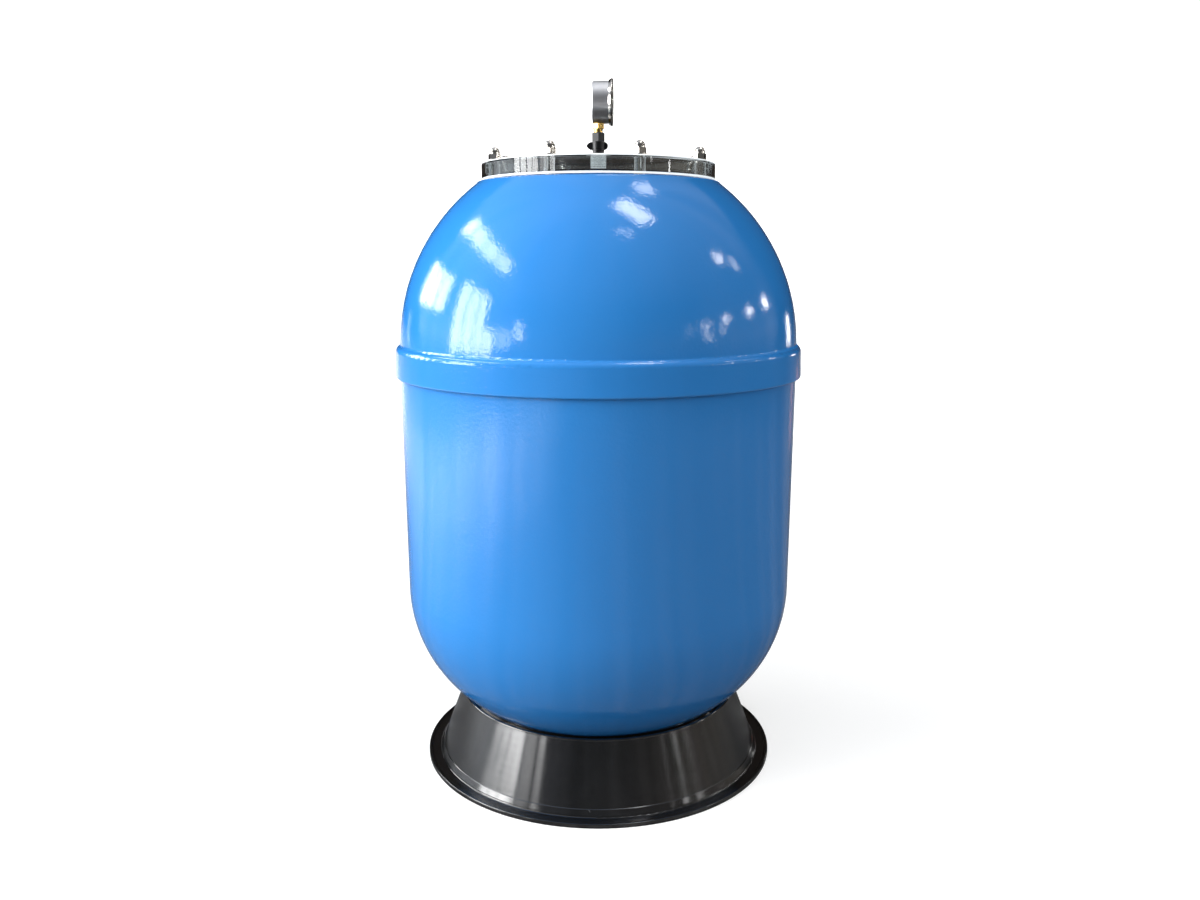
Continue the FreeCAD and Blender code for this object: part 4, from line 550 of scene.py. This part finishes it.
STUD_RADIUS, STUD_CHAMFER = 0.005, 0.0008
STUD_PITCH, STUD_THREAD_DEPTH = 0.0015, 0.0009
STUD_STEPS = 20
STUD_LOW, STUD_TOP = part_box("lid_studs")[0][2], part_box("lid_studs")[1][2]
studs = turned("lid_studs_threaded", [
    (0.0, STUD_LOW), (STUD_RADIUS - STUD_CHAMFER, STUD_LOW), (STUD_RADIUS, STUD_LOW + STUD_CHAMFER),
    (STUD_RADIUS, STUD_TOP - STUD_CHAMFER), (STUD_RADIUS - STUD_CHAMFER, STUD_TOP), (0.0, STUD_TOP)],
    [(STUD_LOW + STUD_CHAMFER, STUD_TOP - STUD_CHAMFER, STUD_PITCH, STUD_THREAD_DEPTH)], STUD_STEPS,
    [Matrix.Rotation(FIRST_BOLT + 2 * pi * bolt / BOLTS, 4, "Z") @ Matrix.Translation((BOLT_CIRCLE, 0, 0))
     for bolt in range(BOLTS)])
studs.data.materials.append(stainless)
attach(studs, "tank")
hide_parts("lid_studs")

# Bright yellow metal, with the fine steps that the lathe tool left, drawn coarser so that they show.
TOOL_MARKS = 0.002618
brass, tree, shader = finish_called("Brass, turned, bright")
place = node(tree, "TexCoord").outputs["Object"]
cuts = node(tree, "TexWave", {"Vector": place, "Scale": wave_scale(TOOL_MARKS), "Distortion": 0.4},
            bands_direction="Z")
bump = node(tree, "Bump", {"Height": cuts.outputs["Fac"], "Strength": 0.04, "Distance": 0.0002})
tree.links.new(bump.outputs["Normal"], shader.inputs["Normal"])
shader.inputs["Base Color"].default_value = linear("#D9B56A")
shader.inputs["Metallic"].default_value = 1.0
shader.inputs["Roughness"].default_value = 0.24
dress(brass, "stud_inserts", "gauge_socket", "gauge_movement", "gauge_sector", "bourdon_tube",
      "pointer_shaft")


# ---------------------------------------------------------------- Air purge
# Three black nylon mouldings: the stem screwed in the lid, the winged collar that lets air out,
# and the hexagon that takes the gauge.
# Half gloss with slight flow marks, so that edges catch a soft light.
FLOW_MARKS = 0.0025
nylon, tree, shader = finish_called("Black nylon, moulded, half gloss")
place = node(tree, "TexCoord").outputs["Object"]
flow = node(tree, "TexNoise", {"Vector": place, "Scale": 1 / FLOW_MARKS, "Detail": 3.0})
bump = node(tree, "Bump", {"Height": flow.outputs["Fac"], "Strength": 0.06, "Distance": 0.0002})
tree.links.new(bump.outputs["Normal"], shader.inputs["Normal"])
shader.inputs["Base Color"].default_value = linear("#0F1011")
shader.inputs["Roughness"].default_value = 0.3
dress(nylon, "purge_stem", "purge_wing", "gauge_adapter")


# ---------------------------------------------------------------- Pressure gauge
# A 63 mm gauge: pressed case of satin stainless steel, polished ring rolled over a clear window,
# white dial with black figures and a black pointer.
# Brushed fine before pressing: it shows the light overhead and the dark below as soft bands. Its haze
# is drawn in larger patches than the real grain, so that it shows.
SATIN_GRAIN = 0.002
satin_steel, tree, shader = finish_called("Stainless steel, satin, pressed case")
place = node(tree, "TexCoord").outputs["Object"]
haze = node(tree, "TexNoise", {"Vector": place, "Scale": 1 / SATIN_GRAIN, "Detail": 5.0})
rough = node(tree, "MapRange", {"Value": haze.outputs["Fac"], "To Min": 0.3, "To Max": 0.42})
tree.links.new(rough.outputs["Result"], shader.inputs["Roughness"])
shader.inputs["Base Color"].default_value = linear("#F2F2F4")
shader.inputs["Metallic"].default_value = 1.0
dress(satin_steel, "gauge_case")

# Seen through from the front, and a mirror at a low angle.
SMEARS = 0.0167
window, tree, shader = finish_called("Clear polycarbonate window, flat")
place = node(tree, "TexCoord").outputs["Object"]
smears = node(tree, "TexNoise", {"Vector": place, "Scale": 1 / SMEARS, "Detail": 4.0})
rough = node(tree, "MapRange", {"Value": smears.outputs["Fac"], "To Min": 0.02, "To Max": 0.07})
sheen = node(tree, "LayerWeight", {"Blend": 0.3})
body = node(tree, "MapRange", {"Value": sheen.outputs["Fresnel"], "To Min": 0.05, "To Max": 0.9})
tree.links.new(rough.outputs["Result"], shader.inputs["Roughness"])
tree.links.new(body.outputs["Result"], shader.inputs["Alpha"])
shader.inputs["Base Color"].default_value = linear("#E9EDED")
shader.inputs["IOR"].default_value = 1.49
dress(window, "gauge_window")

# Stoved white paint, slightly uneven.
ENAMEL_SHADE = 0.0111
enamel, tree, shader = finish_called("White enamel on aluminium")
place = node(tree, "TexCoord").outputs["Object"]
flow = node(tree, "TexNoise", {"Vector": place, "Scale": 1 / ENAMEL_SHADE, "Detail": 3.0})
tone = node(tree, "MixRGB", {"Fac": flow.outputs["Fac"], "Color1": linear("#F4F4F1"),
                             "Color2": linear("#EBEBE7")})
tree.links.new(tone.outputs["Color"], shader.inputs["Base Color"])
shader.inputs["Roughness"].default_value = 0.4
dress(enamel, "gauge_dial")

# The pointer's paint and the print: black with a satin shine.
INK_GRAIN = 0.005
ink, tree, shader = finish_called("Black enamel, satin")
place = node(tree, "TexCoord").outputs["Object"]
flow = node(tree, "TexNoise", {"Vector": place, "Scale": 1 / INK_GRAIN, "Detail": 3.0})
rough = node(tree, "MapRange", {"Value": flow.outputs["Fac"], "To Min": 0.3, "To Max": 0.5})
tree.links.new(rough.outputs["Result"], shader.inputs["Roughness"])
shader.inputs["Base Color"].default_value = linear("#101011")
dress(ink, "gauge_pointer")

# The scale is printed over three quarters of a turn, clockwise from the pointer's rest at half past
# seven. Its plain figures stand for bar. The gauge shows only its edge, so the scale is a guess.
DIAL_TURN = radians(-2.5)
DIAL_FACE = 0.0096
DIAL_ZERO, DIAL_SWEEP = 225, 270
PRINT = 0.00012
TICK_END = 0.0266
LONG_TICK, SHORT_TICK = 0.0042, 0.0022
LONG_WIDTH, SHORT_WIDTH = 0.0010, 0.0006
FIGURE_CIRCLE = 0.0180
FIGURE_SIZE = 0.0072
FULL_SCALE, TICKS_PER_BAR = 4, 10
dial_low, dial_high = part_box("gauge_dial")
onto_dial = (Matrix.Translation((0, 0, (dial_low[2] + dial_high[2]) / 2)) @ Matrix.Rotation(DIAL_TURN, 4, "Z")
             @ Matrix.Translation((DIAL_FACE + PRINT / 2, 0, 0)) @ Matrix.Rotation(pi / 2, 4, "Z")
             @ Matrix.Rotation(pi / 2, 4, "X"))
bm = bmesh.new()
for tick in range(FULL_SCALE * TICKS_PER_BAR + 1):
    bearing = radians(DIAL_ZERO - DIAL_SWEEP * tick / (FULL_SCALE * TICKS_PER_BAR))
    is_long = tick % (TICKS_PER_BAR // 2) == 0
    length, width = (LONG_TICK, LONG_WIDTH) if is_long else (SHORT_TICK, SHORT_WIDTH)
    bar = bmesh.ops.create_cube(bm, size=1.0)["verts"]
    bmesh.ops.transform(bm, verts=bar, matrix=Matrix.Rotation(bearing, 4, "Z") @ Matrix.Translation(
        (TICK_END - length / 2, 0, 0)) @ Matrix.Diagonal((length, width, PRINT, 1)))
for figure in range(FULL_SCALE + 1):
    bearing = radians(DIAL_ZERO - DIAL_SWEEP * figure / FULL_SCALE)
    written = bpy.data.curves.new("figure", "FONT")
    written.body = str(figure)
    written.size = FIGURE_SIZE
    written.extrude = PRINT / 2
    written.align_x, written.align_y = "CENTER", "CENTER"
    shape = bpy.data.meshes.new_from_object(bpy.data.objects.new("figure", written))
    shape.transform(Matrix.Translation((FIGURE_CIRCLE * cos(bearing), FIGURE_CIRCLE * sin(bearing), 0)))
    bm.from_mesh(shape)
bmesh.ops.transform(bm, verts=bm.verts, matrix=onto_dial)
scale_mesh = bpy.data.meshes.new("dial_scale")
bm.to_mesh(scale_mesh)
bm.free()
scale = new_object("dial_scale", scale_mesh)
scale_mesh.materials.append(ink)
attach(scale, "lid")
